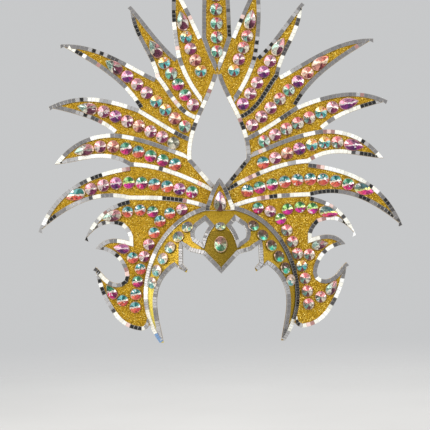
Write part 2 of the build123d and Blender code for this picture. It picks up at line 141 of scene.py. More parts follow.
def bowed(start, end, pull_a=0.0, pull_b=0.0):
    """A cubic curve: its two guides stand at the thirds of the chord, moved to its left by
    the pulls times the chord."""
    share = np.linspace(0, 1, STEPS)[:, None]
    chord = end - start
    side = np.array([-chord[1], chord[0]])
    guide_a = start + chord / 3 + side * pull_a
    guide_b = start + chord * (2 / 3) + side * pull_b
    weights = [(1 - share) ** 3, 3 * share * (1 - share) ** 2, 3 * share**2 * (1 - share), share**3]
    return sum(w * p for w, p in zip(weights, (start, guide_a, guide_b, end)))


def arc(start, middle, end):
    """Nearly a circle's arc through three points: both pulls are 4/3 of its height over its
    chord."""
    chord = end - start
    length = np.hypot(*chord)
    across = np.array([-chord[1], chord[0]]) / length
    pull = 4 / 3 * ((middle - (start + end) / 2) @ across) / length
    return bowed(start, end, pull, pull)


def rim_arc(first_angle, last_angle):
    """Part of the band's rim: half an ellipse above its waist and half of another below. The
    angle is counted from the waist upwards, in radians."""
    angle = np.linspace(first_angle, last_angle, STEPS)
    rise = np.where(np.sin(angle) > 0, band_top - BAND_WAIST, BAND_TUCK)
    return np.stack([band_half_width * np.cos(angle), BAND_WAIST + rise * np.sin(angle)], axis=1)


def turned_left(directions):
    """Unit vectors a quarter turn to the left of each direction."""
    left = np.stack([-directions[:, 1], directions[:, 0]], axis=1)
    return left / np.linalg.norm(left, axis=1, keepdims=True)


print("a curve has", len(bowed(fan(0, 1), fan(0.08, 0.63), 0.1, 0.04)), "points")

# %% [markdown]
# These are the templates of one side. A feather has a tip, an upper edge and a lower edge. A
# seam runs from the notch between two feathers to its root, and its tiles lie on the feather
# above it or on the one below. The wing is a chain of edges: the top of the horn, two bays with
# a spike between them, and the foot. The tables hold only corners and pulls, because everything
# between them follows.

# %% Templates
# tip x, tip z, upper pulls, lower pulls
FEATHERS = [
    (0.234, 0.847, (-0.024, -0.014), (+0.057, +0.053)),
    (0.470, 0.760, (-0.007, +0.050), (+0.146, -0.054)),
    (0.861, 0.618, (-0.145, -0.036), (-0.054, -0.122)),
    (0.933, 0.383, (-0.187, -0.113), (-0.038, -0.114)),
    (0.904, 0.166, (-0.178, -0.175), (-0.031, -0.216)),
    (1.000, -0.089, (-0.235, -0.172), (-0.129, -0.219)),
]
MIDDLE_PULLS = (0.109, 0.040)
# notch, root, pulls, side of the tiles
SEAMS = [
    (fan(0.081, 0.633), fan(0.000, 0.495), (+0.019, +0.033), "above"),
    (fan(0.218, 0.557), fan(0.060, 0.363), (+0.077, +0.074), "above"),
    (fan(0.337, 0.484), fan(0.082, 0.317), (+0.039, +0.233), "above"),
    (fan(0.431, 0.370), fan(0.110, 0.245), (+0.009, +0.055), "below"),
    (fan(0.572, 0.279), fan(0.110, 0.178), (-0.070, -0.012), "below"),
    (fan(0.491, 0.153), fan(0.002, 0.038), (-0.104, -0.043), "above"),
    (wing(0.128, 1.053), fan(0.055, -0.018), (-0.043, -0.093), "above"),
]
# end x, end z, pulls
HORN_TOP = [(0.559, 0.760, +0.191, +0.188)]
UPPER_BAY = [
    (0.203, 0.860, -0.231, -0.291),
    (0.131, 0.748, -0.113, -0.182),
    (0.456, 0.698, +0.181, +0.315),
]
LOWER_BAY = [
    (0.182, 0.525, -0.209, -0.230),
    (0.260, 0.443, -0.417, -0.413),
    (0.462, 0.566, -0.212, +0.006),
]
WING_FOOT = [
    (0.303, 0.223, +0.096, +0.090),
    (0.031, 0.094, +0.168, +0.160),
    (-0.060, 0.176, +0.300, +0.200),
]
TEARDROP = [fan(0.000, 0.492), fan(0.151, 0.176), fan(0.028, 0.075)]
TEARDROP_PULLS = (-0.009, 0.130)
BAND_CORNERS = [
    band(0.000, 0.511), band(0.227, 0.646), band(0.386, 0.669), band(0.481, 0.708),
    band(0.484, 0.581), band(0.425, 0.546), band(0.441, 0.520), band(0.584, 0.566),
    band(0.765, 0.000),
]
LEG_PULLS = (0.318, 0.098)
LEAF = [
    band(0.196, 0.886), band(0.140, 0.850), band(0.202, 0.795), band(0.241, 0.731),
    band(0.318, 0.762), band(0.331, 0.802), band(0.291, 0.847),
]
SPIRE_PULLS = (0.111, 0.019)
SPIRE_SHOULDER = 4.0 * MM
print(len(FEATHERS), "feathers a side and", len(SEAMS), "seams")

# %% [markdown]
# On the real crown a strip is small squares of mirror glued edge to edge along a plate. An Array
# modifier along a curve could lay them, but it would bend the tiles and let them overlap at a
# corner. Here a path is cut by lines across the strip, and each tile is the flat piece between
# two lines. Where two curves meet, the line stands at their mitre, so tiles meet there as cut
# ones do.

# %% Cutting a path into tiles
TILE_LENGTH = 5.0 * MM
MITRE_LIMIT = 1.6


def corner_way(one, other):
    """The way to a mitred corner between two unit vectors, up to a limit."""
    between = one + other
    between /= np.hypot(*between)
    return between * min(MITRE_LIMIT, 1 / (between @ one))


def lay_tiles(path, side, pitch=TILE_LENGTH):
    """Tiles along joined curves, on their left (side +1) or right (-1). Each curve is divided
    evenly by its length. Returns the four corners of every tile, from the edge inwards, and
    how far along the whole path each tile lies, as a share."""
    lengths = [np.linalg.norm(np.diff(curve, axis=0), axis=1).sum() for curve in path]
    total = sum(lengths)
    quads, places = [], []
    before = 0.0
    for number, (curve, length) in enumerate(zip(path, lengths)):
        steps = np.linalg.norm(np.diff(curve, axis=0), axis=1)
        travelled = np.concatenate([[0], np.cumsum(steps)])
        count = max(1, round(length / pitch))
        stations = np.linspace(0, length, count + 1)
        ways = turned_left(np.gradient(curve, axis=0))
        across = np.stack([np.interp(stations, travelled, ways[:, k]) for k in (0, 1)], axis=1)
        points = np.stack([np.interp(stations, travelled, curve[:, k]) for k in (0, 1)], axis=1)
        if number > 0:
            across[0] = corner_way(across[0], turned_left(np.gradient(path[number - 1], axis=0))[-1])
        if number < len(path) - 1:
            across[-1] = corner_way(across[-1], turned_left(np.gradient(path[number + 1], axis=0))[0])
        inner = points + across * (side * STRIP_WIDTH)
        quads.append(np.stack([points[:-1], points[1:], inner[1:], inner[:-1]], axis=1))
        places.append((before + (stations[:-1] + stations[1:]) / 2) / total)
        before += length
    return np.concatenate(quads), np.concatenate(places)


middle_quads, _ = lay_tiles([bowed(fan(0, 1), SEAMS[0][0], *MIDDLE_PULLS)], -1)
print("one edge of the middle feather takes", len(middle_quads), "tiles")

# %% [markdown]
# Where one strip runs into another, the maker nips its tiles off along the other's edge. A
# Boolean modifier could do that, one tile after another. It is quicker to shorten the edges of
# all tiles at once: a limit is a function that is positive where tiles may lie, and a tile that
# crosses the line where it is zero gives up its corners beyond that line.

# %% Nipping tiles off
SMALLEST_TILE = 0.8 * MM
TILE_EDGES = ((0, 1), (1, 0), (3, 2), (2, 3), (0, 3), (3, 0), (1, 2), (2, 1))


def polygon_area(quads):
    """The signed area of each four-cornered tile, by the shoelace rule."""
    following = np.roll(quads, -1, axis=1)
    return 0.5 * (quads[..., 0] * following[..., 1] - quads[..., 1] * following[..., 0]).sum(axis=1)


def clipped(quads, places, keep):
    """Tiles cut off where keep(points) is negative. Along each edge that crosses zero, the
    outer corner slides to the place where keep is zero. Tiny pieces are dropped."""
    if len(quads) == 0:
        return quads, places
    depth = keep(quads.reshape(-1, 2)).reshape(-1, 4)
    result = quads.copy()
    for first, last in TILE_EDGES:
        cut = (depth[:, first] > 0) & (depth[:, last] <= 0)
        share = depth[cut, first] / (depth[cut, first] - depth[cut, last])
        shift = quads[cut, last] - quads[cut, first]
        result[cut, last] = quads[cut, first] + shift * share[:, None]
    kept = (depth > 0).any(axis=1) & (np.abs(polygon_area(result)) > SMALLEST_TILE**2)
    return result[kept], places[kept]


def cut_at(quads, places, *limits):
    """Tiles cut at every one of the limits."""
    for limit in limits:
        quads, places = clipped(quads, places, limit)
    return quads, places


print("a piece under", round(SMALLEST_TILE / MM, 1), "mm square is dropped")

# %% [markdown]
# These are the limits on this crown: the middle line, the strip round the teardrop, the band's
# rim and the edges of neighbouring strips. A limit could also be tested with a ray or a nearest
# face in Blender. Distances to points and to an ellipse are enough, because all of it lies in
# one plane.

# %% Limits
BESIDE_STRIP = STRIP_WIDTH + JOIN
NEARBY = 15.0 * MM
WHOLE_FAN = 1.0


def right_of_middle(points):
    """Positive to the right of the middle line, less half a joint."""
    return points[:, 0] - JOIN / 2


def outside_rim(points, clearance=RIM_CLEARANCE):
    """Positive outside the rim's ellipse: the share by which a point is beyond it, times the
    band's half width."""
    rise = np.where(points[:, 1] > BAND_WAIST, band_top - BAND_WAIST, BAND_TUCK)
    radius = np.hypot(points[:, 0] / band_half_width, (points[:, 1] - BAND_WAIST) / rise)
    return (radius - 1) * band_half_width - clearance


def inside_rim_strip(points):
    """Positive inside the strip that lies along the rim."""
    return -outside_rim(points, 0.0) - STRIP_WIDTH - JOIN


def beside(path, side, clearance, reach=NEARBY):
    """A limit along an edge: the distance from the edge on that side of it, less a clearance.
    Points further off than the reach are left alone."""
    edge = np.concatenate(path)
    ways = np.concatenate([turned_left(np.gradient(curve, axis=0)) for curve in path])

    def limit(points):
        away = points[:, None, :] - edge[None, :, :]
        nearest = np.argmin((away**2).sum(axis=2), axis=1)
        offset = away[np.arange(len(points)), nearest]
        distance = np.linalg.norm(offset, axis=1)
        sign = side * np.sign((offset * ways[nearest]).sum(axis=1))
        return np.where(distance > reach, reach, sign * distance - clearance)
    return limit


teardrop_path = [
    bowed(TEARDROP[0], TEARDROP[1], *TEARDROP_PULLS),
    bowed(TEARDROP[1], TEARDROP[2]),
]
fan_limits = (beside(teardrop_path, +1, BESIDE_STRIP, WHOLE_FAN), outside_rim, right_of_middle)
print("the rim's limit at its waist is", outside_rim(np.array([[band_half_width, BAND_WAIST]]))[0])

# %% [markdown]
# Tiles lie on the fan's flat front, on the spire, or on the bulging band. They could be laid
# flat and pressed on with a Shrinkwrap modifier. A formula is exact: a seat takes points of the
# drawing to places on the surface, and gives the way out of it there. On the band the drawing is
# carried straight back onto the ball.

# %% Seats
def flat_seat(y):
    """Points of the drawing on a flat face at that y, which looks towards -Y."""
    def seat(points):
        places = np.stack([points[:, 0], np.full(len(points), y), points[:, 1]], axis=1)
        return places, np.tile([0.0, -1.0, 0.0], (len(points), 1))
    return seat


def ball_seat(points):
    """Points of the drawing on the ball: y is minus the root of radius squared less x squared
    less z squared, all from the ball's centre."""
    reach = ball_radius + CURVED_SEAT
    x, z = points[:, 0], points[:, 1] - ball_centre[2]
    y = -np.sqrt(reach**2 - x**2 - z**2)
    out = np.stack([x, y, z], axis=1)
    return out + ball_centre, out / reach


print("the ball's front is at y =", round(ball_seat(np.array([[0.0, ball_centre[2]]]))[0][0, 1], 4))

# %% [markdown]
# A piece needs a mesh, a material and a body to ride on. Its colours can
# be many materials, or one material that reads an attribute. With more than a thousand tiles
# only the attribute is practical: it holds a colour for each face.

# %% Pieces
def object_from(name, vertices, faces, material):
    """A finished mesh object at the origin, riding on the crown."""
    mesh = bpy.data.meshes.new(name)
    mesh.from_pydata(vertices.tolist(), [], [list(face) for face in faces])
    mesh.validate()
    mesh.materials.append(material)
    piece = bpy.data.objects.new(name, mesh)
    bpy.context.scene.collection.objects.link(piece)
    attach(piece, "root")
    return piece


def paint_faces(piece, name, colours):
    """A colour for each face, kept as an attribute."""
    layer = piece.data.attributes.new(name, "FLOAT_COLOR", "FACE")
    values = np.concatenate([colours, np.ones((len(colours), 1))], axis=1)
    layer.data.foreach_set("color", values.astype(np.float32).ravel())


print(sum("strip" in name or "stone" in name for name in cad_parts), "nodes will be replaced")

# %% [markdown]
# A finish is a network of nodes. It could be wired one node at a time, but the maths then gets
# lost in the wiring. A small class wraps a node's output, so that a + b adds a Math node. With
# the reflected forms a number may stand on the left too, as in 1 - mask.

# %% Sums of sockets
class Socket:
    """A node's output that can be added, subtracted, multiplied and compared."""

    def __init__(self, recipe, link):
        self.recipe = recipe
        self.link = link

    def maths(self, operation, other, swap=False):
        values = [other, self] if swap else [self, other]
        return self.recipe.node("ShaderNodeMath", {"operation": operation}, dict(enumerate(values)))

    def __add__(self, other):
        return self.maths("ADD", other)

    def __sub__(self, other):
        return self.maths("SUBTRACT", other)

    def __rsub__(self, other):
        return self.maths("SUBTRACT", other, swap=True)

    def __mul__(self, other):
        return self.maths("MULTIPLY", other)

    def __lt__(self, other):
        return self.maths("LESS_THAN", other)

    def __gt__(self, other):
        return self.maths("GREATER_THAN", other)

    __radd__ = __add__
    __rmul__ = __mul__


print("a socket can be added, subtracted, multiplied and compared")

# %% [markdown]
# A recipe is one material. Every finish could be built from separate calls, but setting up a
# node takes the same few lines each time. So one method makes any node: it takes the node's
# settings first, such as a ramp's stops, and then the values and links of its sockets. The
# methods after it are short names for the nodes that are used often.

# %% Recipes for finishes
class Recipe:
    """A material with a Principled shader, built from expressions. What is the same all over
    is set on the shader's own sockets."""

    def __init__(self, name, **constants):
        self.material = bpy.data.materials.new(name)
        self.material.use_nodes = True
        self.nodes = self.material.node_tree.nodes
        self.links = self.material.node_tree.links
        self.shader = self.nodes["Principled BSDF"]
        for socket, value in constants.items():
            self.shader.inputs[socket.replace("_", " ")].default_value = value

    def node(self, kind, settings=None, inputs=None, output=0):
        """Any node: its settings are set first, then values and links go to its sockets."""
        made = self.nodes.new(kind)
        for key, value in (settings or {}).items():
            if key == "stops":
                self.fill_ramp(made.color_ramp, value)
            else:
                setattr(made, key, value)
        for key, value in (inputs or {}).items():
            if isinstance(value, Socket):
                self.links.new(value.link, made.inputs[key])
            else:
                made.inputs[key].default_value = value
        return Socket(self, made.outputs[output])

    def fill_ramp(self, ramp, stops):
        """A ramp's stops, as pairs of a place and a colour."""
        while len(ramp.elements) < len(stops):
            ramp.elements.new(0.5)
        for element, (place, colour) in zip(ramp.elements, stops):
            element.position = place
            element.color = (*colour, 1.0)

    def ramp(self, factor, stops):
        """A colour for each value of the factor."""
        return self.node("ShaderNodeValToRGB", {"stops": stops}, {"Fac": factor})

    def mix(self, factor, one, other, blend="MIX"):
        """Two colours mixed, or multiplied."""
        settings = {"data_type": "RGBA", "blend_type": blend}
        return self.node("ShaderNodeMix", settings, {0: factor, 6: one, 7: other}, output=2)

    def vector(self, operation, inputs, output=0):
        """One step of vector maths."""
        return self.node("ShaderNodeVectorMath", {"operation": operation}, inputs, output)

    def fade(self, value, start, end, before, after):
        """A number that goes smoothly from one value to another between two places."""
        ends = {"Value": value, "From Min": start, "From Max": end, "To Min": before, "To Max": after}
        return self.node("ShaderNodeMapRange", {"interpolation_type": "SMOOTHSTEP"}, ends)

    def attribute(self, name):
        """A colour that was painted on the faces."""
        return self.node("ShaderNodeAttribute", {"attribute_name": name})

    def place(self):
        """Object coordinates, in metres."""
        return self.node("ShaderNodeTexCoord", output=3)

    def parts(self, vector):
        """A vector's x, y and z."""
        split = self.node("ShaderNodeSeparateXYZ", inputs={0: vector})
        outputs = split.link.node.outputs
        return [Socket(self, outputs[number]) for number in range(3)]

    def feed(self, **sockets):
        """Links what varies to the shader's sockets, and returns the material."""
        for name, value in sockets.items():
            self.links.new(value.link, self.shader.inputs[name.replace("_", " ")])
        return self.material


print("a recipe can", [name for name in vars(Recipe) if not name.startswith("_")])

# %% [markdown]
# Colours are chosen on a screen, but a shader counts light. The colour picker could turn
# one into the other, a colour at a time. A formula does it for all of them, so the numbers in
# this script are the ones that a screen shows.

# %% Screen colours
def srgb(red, green, blue):
    """A colour as a shader takes it, from the 0 to 255 values that a screen shows: nearly the
    power 2.4 of each."""
    values = np.array([red, green, blue]) / 255
    linear = np.where(values <= 0.04045, values / 12.92, ((values + 0.055) / 1.055) ** 2.4)
    return tuple(float(v) for v in linear)


print("gold on a screen is", [round(v, 3) for v in srgb(188, 150, 42)], "in a shader")

# %% [markdown]
# Three patterns serve for every finish of the crown. Flakes and glints are the cells of a
# Voronoi texture, each with its own random number and its own lean. Soft patches are noise. The
# back of the sheet is told from its front by the direction in which the surface looks.

# %% Patterns
FOAM_GRAIN = 1.2 * MM
FRONT_LIMIT = -0.3


def sparkle(recipe, size, lean):
    """Flakes: a random number for each, and the surface's direction with each flake's lean
    added to it."""
    cells = recipe.node(
        "ShaderNodeTexVoronoi", {"feature": "F1"}, {"Vector": recipe.place(), "Scale": 1 / size}, output=1)
    centred = recipe.vector("SUBTRACT", {0: cells, 1: (0.5,) * 3})
    leaning = recipe.vector("SCALE", {0: centred, "Scale": lean})
    normal = recipe.node("ShaderNodeNewGeometry", output=1)
    added = recipe.vector("ADD", {0: normal, 1: leaning})
    return recipe.parts(cells)[0], recipe.vector("NORMALIZE", {0: added})


def patches(recipe, size, detail=3.0):
    """Soft light and dark patches of that size."""
    inputs = {"Vector": recipe.place(), "Scale": 1 / size, "Detail": detail}
    return recipe.node("ShaderNodeTexNoise", {}, inputs)


def faces_front(recipe):
    """1 on the front of the crown, and 0 on its back and edges."""
    normal = recipe.node("ShaderNodeTexCoord", output=1)
    return recipe.parts(normal)[1] < FRONT_LIMIT


def bare_foam(recipe):
    """The foam under glitter and foil: two browns in small soft patches."""
    return recipe.ramp(patches(recipe, FOAM_GRAIN), [(0.3, srgb(160, 122, 38)), (0.7, srgb(186, 148, 58))])


print("foam grain is", round(FOAM_GRAIN / MM, 1), "mm")

# %% [markdown]
# Glitter sheet is foam with a coat of tiny metal flakes. Real flakes could be scattered as
# geometry, but they are under a millimetre and there are more than a hundred thousand. So each
# flake is a cell of a pattern: its number picks its shade of gold, and its lean turns it towards
# a lamp or away, so that a few flash and the rest stay dark.

# %% Glitter sheet
FLAKE = 0.8 * MM
FLAKE_LEAN = 0.8
WORN_PATCH = 40 * MM
GOLD_FLAKES = [
    (0.0, srgb(114, 82, 8)),
    (0.30, srgb(164, 126, 20)),
    (0.75, srgb(196, 155, 34)),
    (0.93, srgb(226, 189, 68)),
    (1.0, srgb(252, 230, 140)),
]


def glitter_sheet():
    """Gold flakes on the front, and bare foam on the back and the edges."""
    recipe = Recipe("gold_glitter_sheet", Specular_IOR_Level=0.15)
    shade, facing = sparkle(recipe, FLAKE, FLAKE_LEAN)
    flakes = recipe.ramp(shade, GOLD_FLAKES)
    worn = recipe.mix(1.0, flakes, (*srgb(226, 222, 214), 1), "MULTIPLY")
    glitter_coat = recipe.mix(patches(recipe, WORN_PATCH), flakes, worn)
    front = faces_front(recipe)
    return recipe.feed(
        Base_Color=recipe.mix(front, bare_foam(recipe), glitter_coat),
        Roughness=0.70 - front * 0.35,
        Metallic=front * 0.45,
        Normal=facing,
    )


glitter = glitter_sheet()
plates = [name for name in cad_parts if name.startswith(("feather_", "wing_", "spire"))]
plates = [name for name in plates if "strip" not in name and "stone" not in name]
for name in plates:
    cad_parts[name].material_slots[0].material = glitter
print("glitter on", len(plates), "plates")

# %% [markdown]
# The band is smoother: gold foil with a fine grain, and a lozenge in the middle whose darker
# olive is painted shade, where its lower part turns away from the light. The lozenge could be a
# second material on its own faces, but the band's mesh has no edge there. A mask in the band's
# own coordinates draws it sharply: inside it, z plus a share of the distance from the middle
# stays under a limit. Smooth foil also mirrors its surroundings a little, and a painted
# highlight in a light yellow lies on its lower left leg.

# %% Foil
FOIL_GRAIN = 0.6 * MM
FOIL_LEAN = 0.4
LOZENGE_TOP = 139.0 * MM
LOZENGE_SLOPE = 0.35
LOZENGE_HALF_WIDTH = 24.0 * MM
PAINTED_HIGHLIGHT_START = 100.0 * MM
PAINTED_HIGHLIGHT_FULL = 60.0 * MM
PAINTED_HIGHLIGHT_SHARE = 0.65


def foil():
    """Gold foil with its lozenge in painted shade and its painted highlight on the front, and bare foam
    behind.
    """
    recipe = Recipe("gold_foil_band", Specular_IOR_Level=0.25)
    shade, facing = sparkle(recipe, FOIL_GRAIN, FOIL_LEAN)
    grain = recipe.ramp(shade, [
        (0.0, srgb(130, 100, 14)), (0.5, srgb(166, 134, 28)), (1.0, srgb(196, 162, 52)),
    ])
    # painted shade: the lozenge's darker olive stands in for the shade on its lower part, which turns away
    # from the light
    lozenge_painted_shade = recipe.ramp(shade, [(0.0, srgb(100, 80, 8)), (1.0, srgb(132, 108, 18))])
    x, _, z = recipe.parts(recipe.place())
    width = recipe.node("ShaderNodeMath", {"operation": "ABSOLUTE"}, {0: x})
    lozenge = (z + width * LOZENGE_SLOPE < LOZENGE_TOP) * (width < LOZENGE_HALF_WIDTH)
    # painted highlight: a light yellow painted on the lower left leg, where smooth foil would mirror the
    # window at the left
    painted_highlight = recipe.fade(z, PAINTED_HIGHLIGHT_START, PAINTED_HIGHLIGHT_FULL, 0.0, PAINTED_HIGHLIGHT_SHARE) * (x < 0.0)
    foil_with_painted_highlight = recipe.mix(painted_highlight, grain, (*srgb(246, 230, 104), 1))
    front = faces_front(recipe)
    return recipe.feed(
        Base_Color=recipe.mix(front, bare_foam(recipe), recipe.mix(lozenge, foil_with_painted_highlight, lozenge_painted_shade)),
        Roughness=0.6 - front * 0.25,
        Metallic=front * 0.5,
        Normal=facing,
    )


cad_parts["band"].material_slots[0].material = foil()
print("foil on the band")

# %% [markdown]
# A mirror tile shows whatever stands opposite. In a bright room most tiles are white or grey and
# a few are black, and that pattern is what makes the strips look like mirror. A perfect mirror
# shader would show one even grey in a plain studio. So each tile carries a painted reflection
# as its colour, and the shader lays it on polished glass.

# %% Mirror
TILE_CLOUD = 6 * MM


def mirror_tiles():
    """Each tile's painted reflection, faintly clouded, under polished glass."""
    recipe = Recipe("mirror_tile_glass", Metallic=0.22, Coat_Weight=0.5, Coat_Roughness=0.05)
    clouds = patches(recipe, TILE_CLOUD, 1.0)
    shade = recipe.ramp(clouds, [(0.35, (0.94, 0.94, 0.94)), (0.65, (1.0, 1.0, 1.0))])
    # the tile's painted reflection, read from its faces
    colour = recipe.mix(1.0, recipe.attribute("tile_colour"), shade, "MULTIPLY")
    return recipe.feed(Base_Color=colour, Roughness=0.10 + clouds * 0.16)


mirror = mirror_tiles()
print("the mirror has", len(mirror.node_tree.nodes), "nodes")

# %% [markdown]
# What a tile shows is chosen with a chart: a word that says roughly which stretches of a
# strip are white, grey or black. Pure chance would give an even pepper and salt, but real
# reflections come in runs. Within a run single tiles stray, and each differs a little in
# brightness.

# %% Painted reflections of tiles
# the painted reflection of a tile, by a letter: white, silver, grey, dark, black, pink, dusky rose or blue
PAINTED_REFLECTIONS = {
    "w": (255, 253, 242), "s": (176, 175, 176), "g": (124, 122, 123), "d": (72, 70, 71),
    "k": (14, 13, 13), "p": (238, 206, 198), "r": (166, 122, 118), "b": (112, 156, 204),
}
STRAY_SHARE = 0.04
# of the tiles that stray: the share that is dark, the share that is white, and the share that is
# white or pink
DARK_STRAYS, WHITE_STRAYS, LIGHT_STRAYS = 0.4, 0.3, 0.6
TILE_SPREAD = 0.09


def colours_along(places, chart, strays):
    """The painted reflection of every tile: a chart holds one letter for each equal stretch of the
    path. An m stands for black and silver tiles in turn, and a share of the tiles strays from it.
    Every other pink tile is a dusky rose."""
    letters = np.array(list(chart))
    index = np.minimum((places * len(letters)).astype(int), len(letters) - 1)
    chosen = letters[index]
    turn = np.arange(len(places)) % 2 == 0
    odd = rng.random(len(places))
    chosen = np.where((chosen == "m") & turn, "k", chosen)
    chosen = np.where(chosen == "m", "s", chosen)
    white_from, light_from = 1 - strays * WHITE_STRAYS, 1 - strays * LIGHT_STRAYS
    chosen = np.where(odd < strays * DARK_STRAYS, "d", chosen)
    chosen = np.where(odd > white_from, "w", chosen)
    chosen = np.where((odd > light_from) & (odd < white_from), "p", chosen)
    chosen = np.where((chosen == "p") & turn, "r", chosen)
    table = {letter: srgb(*colour) for letter, colour in PAINTED_REFLECTIONS.items()}
    colours = np.array([table[letter] for letter in chosen])
    return np.clip(colours * rng.normal(1.0, TILE_SPREAD, (len(places), 1)), 0.0, 1.0)


print("a tile shows one of", len(PAINTED_REFLECTIONS), "colours")

# %% [markdown]
# A tile is a little slab: four corners on the seat, a wall, and a top that is drawn in by the
# ground edge. A Bevel modifier would make the same edge, but this way all tiles of a strip are
# one array. So the faces of a slab are numbered once, and every tile repeats them.

# %% The slab of a tile
TILE_THICKNESS = 1.6 * MM
TILE_GAP = 0.12 * MM
GROUND_EDGE = 0.34 * MM
DIAGONAL = 1.4
MOST_DRAWN = 0.45
SLAB_CORNERS = np.array([[1, 1], [-1, 1], [-1, -1], [1, -1]])
SLAB_SIDES = [[k, (k + 1) % 4, (k + 1) % 4 + 4, k + 4] for k in range(4)]
SLAB_SLOPES = [[k + 4, (k + 1) % 4 + 4, (k + 1) % 4 + 8, k + 8] for k in range(4)]
SLAB_FACES = np.array([[3, 2, 1, 0], *SLAB_SIDES, *SLAB_SLOPES, [8, 9, 10, 11]])
GROUND_FACES = slice(5, 9)


def drawn_in(corners, amount):
    """Each corner moved towards the tile's middle: by the diagonal of that amount, and by less
    than half of the way there."""
    away = corners.mean(axis=1, keepdims=True) - corners
    distance = np.linalg.norm(away, axis=2, keepdims=True)
    return corners + away * np.minimum(MOST_DRAWN, amount * DIAGONAL / np.maximum(distance, MICRON))


print("a tile has 12 corners and", len(SLAB_FACES), "faces")

# %% [markdown]
# Glued tiles never lie quite level, and that is why each of them mirrors something else. Each
# could be an object of its own, turned a little, but that would be slow. So the lean is added to
# the heights of a tile's corners. The gap between tiles comes off every corner first. The ground
# edge is painted silvery whatever the tile shows, a painted highlight where it catches the light,
# and that draws the light lines between black tiles.

# %% Raising tiles
LEAN = 0.20 * MM
LEAN_SHARE = 0.4
PAINTED_EDGE_HIGHLIGHT = np.array(srgb(176, 172, 164))
EDGE_SHARE = 0.6
EDGE_LEAST = 0.9
MIRRORED = np.array([-1.0, 1.0])


def tile_piece(name, runs, seat, flip=False, strays=STRAY_SHARE):
    """One object for all tiles of a strip. Runs are (corners, places, chart) as laid out on the
    right side. A flipped piece is drawn on the left. A corner's height is the tile's thickness
    plus a share of its two leans, each times the side on which the corner is."""
    quads = np.concatenate([run[0] for run in runs])
    colours = np.concatenate([colours_along(run[1], run[2], strays) for run in runs])
    clockwise = polygon_area(quads) < 0
    quads[clockwise] = quads[clockwise][:, ::-1]
    if flip:
        quads = quads[:, ::-1] * MIRRORED
    count = len(quads)
    base = drawn_in(quads, TILE_GAP / 2)
    places, outs = seat(base.reshape(-1, 2))
    places, outs = places.reshape(count, 4, 3), outs.reshape(count, 4, 3)
    out = outs.mean(axis=1, keepdims=True)
    lean = rng.uniform(-LEAN, LEAN, (count, 2))
    lift = (lean @ SLAB_CORNERS.T)[:, :, None] * LEAN_SHARE
    shoulder = places + out * (TILE_THICKNESS - GROUND_EDGE + lift)
    top_points, _ = seat(drawn_in(base, GROUND_EDGE).reshape(-1, 2))
    top = top_points.reshape(count, 4, 3) + out * (TILE_THICKNESS - LEAN / 2 + lift)
    rings = np.concatenate([places, shoulder, top], axis=1)
    faces = (rings.shape[1] * np.arange(count)[:, None, None] + SLAB_FACES).reshape(-1, 4)
    piece = object_from(name, rings.reshape(-1, 3), faces, mirror)
    # painted highlight: the ground edge's colour is mixed towards silver, where it would catch the light
    edges = np.maximum(colours * EDGE_LEAST, colours * (1 - EDGE_SHARE) + PAINTED_EDGE_HIGHLIGHT * EDGE_SHARE)
    painted = np.repeat(colours[:, None], len(SLAB_FACES), axis=1)
    painted[:, GROUND_FACES] = edges[:, None]
    paint_faces(piece, "tile_colour", painted.reshape(-1, 3))
    return piece


print("a tile's corner rises by", round(2 * LEAN * LEAN_SHARE / MM, 2), "mm at most")

# %% [markdown]
# The crown is the same on both sides, apart from what its tiles show. A Mirror modifier would
# copy the colours too. So a strip is laid on the right and drawn again on the left with its own
# chart: as two pieces where the crown has two, and as one piece where it runs over the middle.

# %% Left and right
def both_sides(name, node, runs, charts, seat):
    """The left and the right piece of a strip, each standing for its own node. Every run has
    one chart for the left and one for the right. Returns the number of tiles."""
    for side, flip in (("left", True), ("right", False)):
        charted = [(quads, places, chart) for (quads, places), chart in zip(runs, charts[side])]
        piece = tile_piece(name.format(side), charted, seat, flip)
        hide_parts(node.format(side))
    return 2 * sum(len(quads) for quads, _ in runs)


def symmetric(name, node, runs, charts, seat, strays=STRAY_SHARE):
    """One piece for a strip that runs over both sides. Returns the number of tiles."""
    right = [(quads, places, chart) for (quads, places), chart in zip(runs, charts["right"])]
    left = [
        (quads[:, ::-1] * MIRRORED, places, chart)
        for (quads, places), chart in zip(runs, charts["left"])
    ]
    piece = tile_piece(name, right + left, seat, strays=strays)
    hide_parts(node)
    return 2 * sum(len(quads) for quads, _ in runs)


def pair_charts(left, right):
    """The charts of a strip with a single run."""
    return {"left": [left], "right": [right]}


fan_seat = flat_seat(0.0)
print("tiles on the fan stand on y =", fan_seat(fan(0, 1)[None])[0][0, 1])

# %% [markdown]
# The first strips go round the teardrop opening and along the middle feather. The middle
# feather's strip runs down its edge and on along the seam to its root. The strip of the opening
# is laid first, because the others end against it.

# %% Strips of the opening and the middle feather
TEARDROP_CHARTS = pair_charts("gwswgwdwwwgsws", "gggwwwwkwgsgkgkg")
MIDDLE_CHARTS = pair_charts("ggggggggg", "gggggggkgws")
teardrop_run = cut_at(*lay_tiles(teardrop_path, +1), right_of_middle)
tile_count = symmetric("tiles_teardrop", "teardrop_strip", [teardrop_run], TEARDROP_CHARTS, fan_seat)

notch, root, pulls, _ = SEAMS[0]
middle_path = [bowed(fan(0, 1), notch, *MIDDLE_PULLS), bowed(notch, root, *pulls)]
middle_run = cut_at(*lay_tiles(middle_path, -1), *fan_limits)
tile_count += symmetric(
    "tiles_feather_middle", "feather_strip_middle", [middle_run], MIDDLE_CHARTS, fan_seat)
print(tile_count, "tiles round the opening and on the middle feather")

# %% [markdown]
# Each side feather has a strip along its upper edge and one along its lower edge. One of them
# runs on along the seam, on whichever side of it the real tiles lie. At the tip the upper strip
# runs out to the point, and the lower one ends against it. Mitring both would leave two slivers.

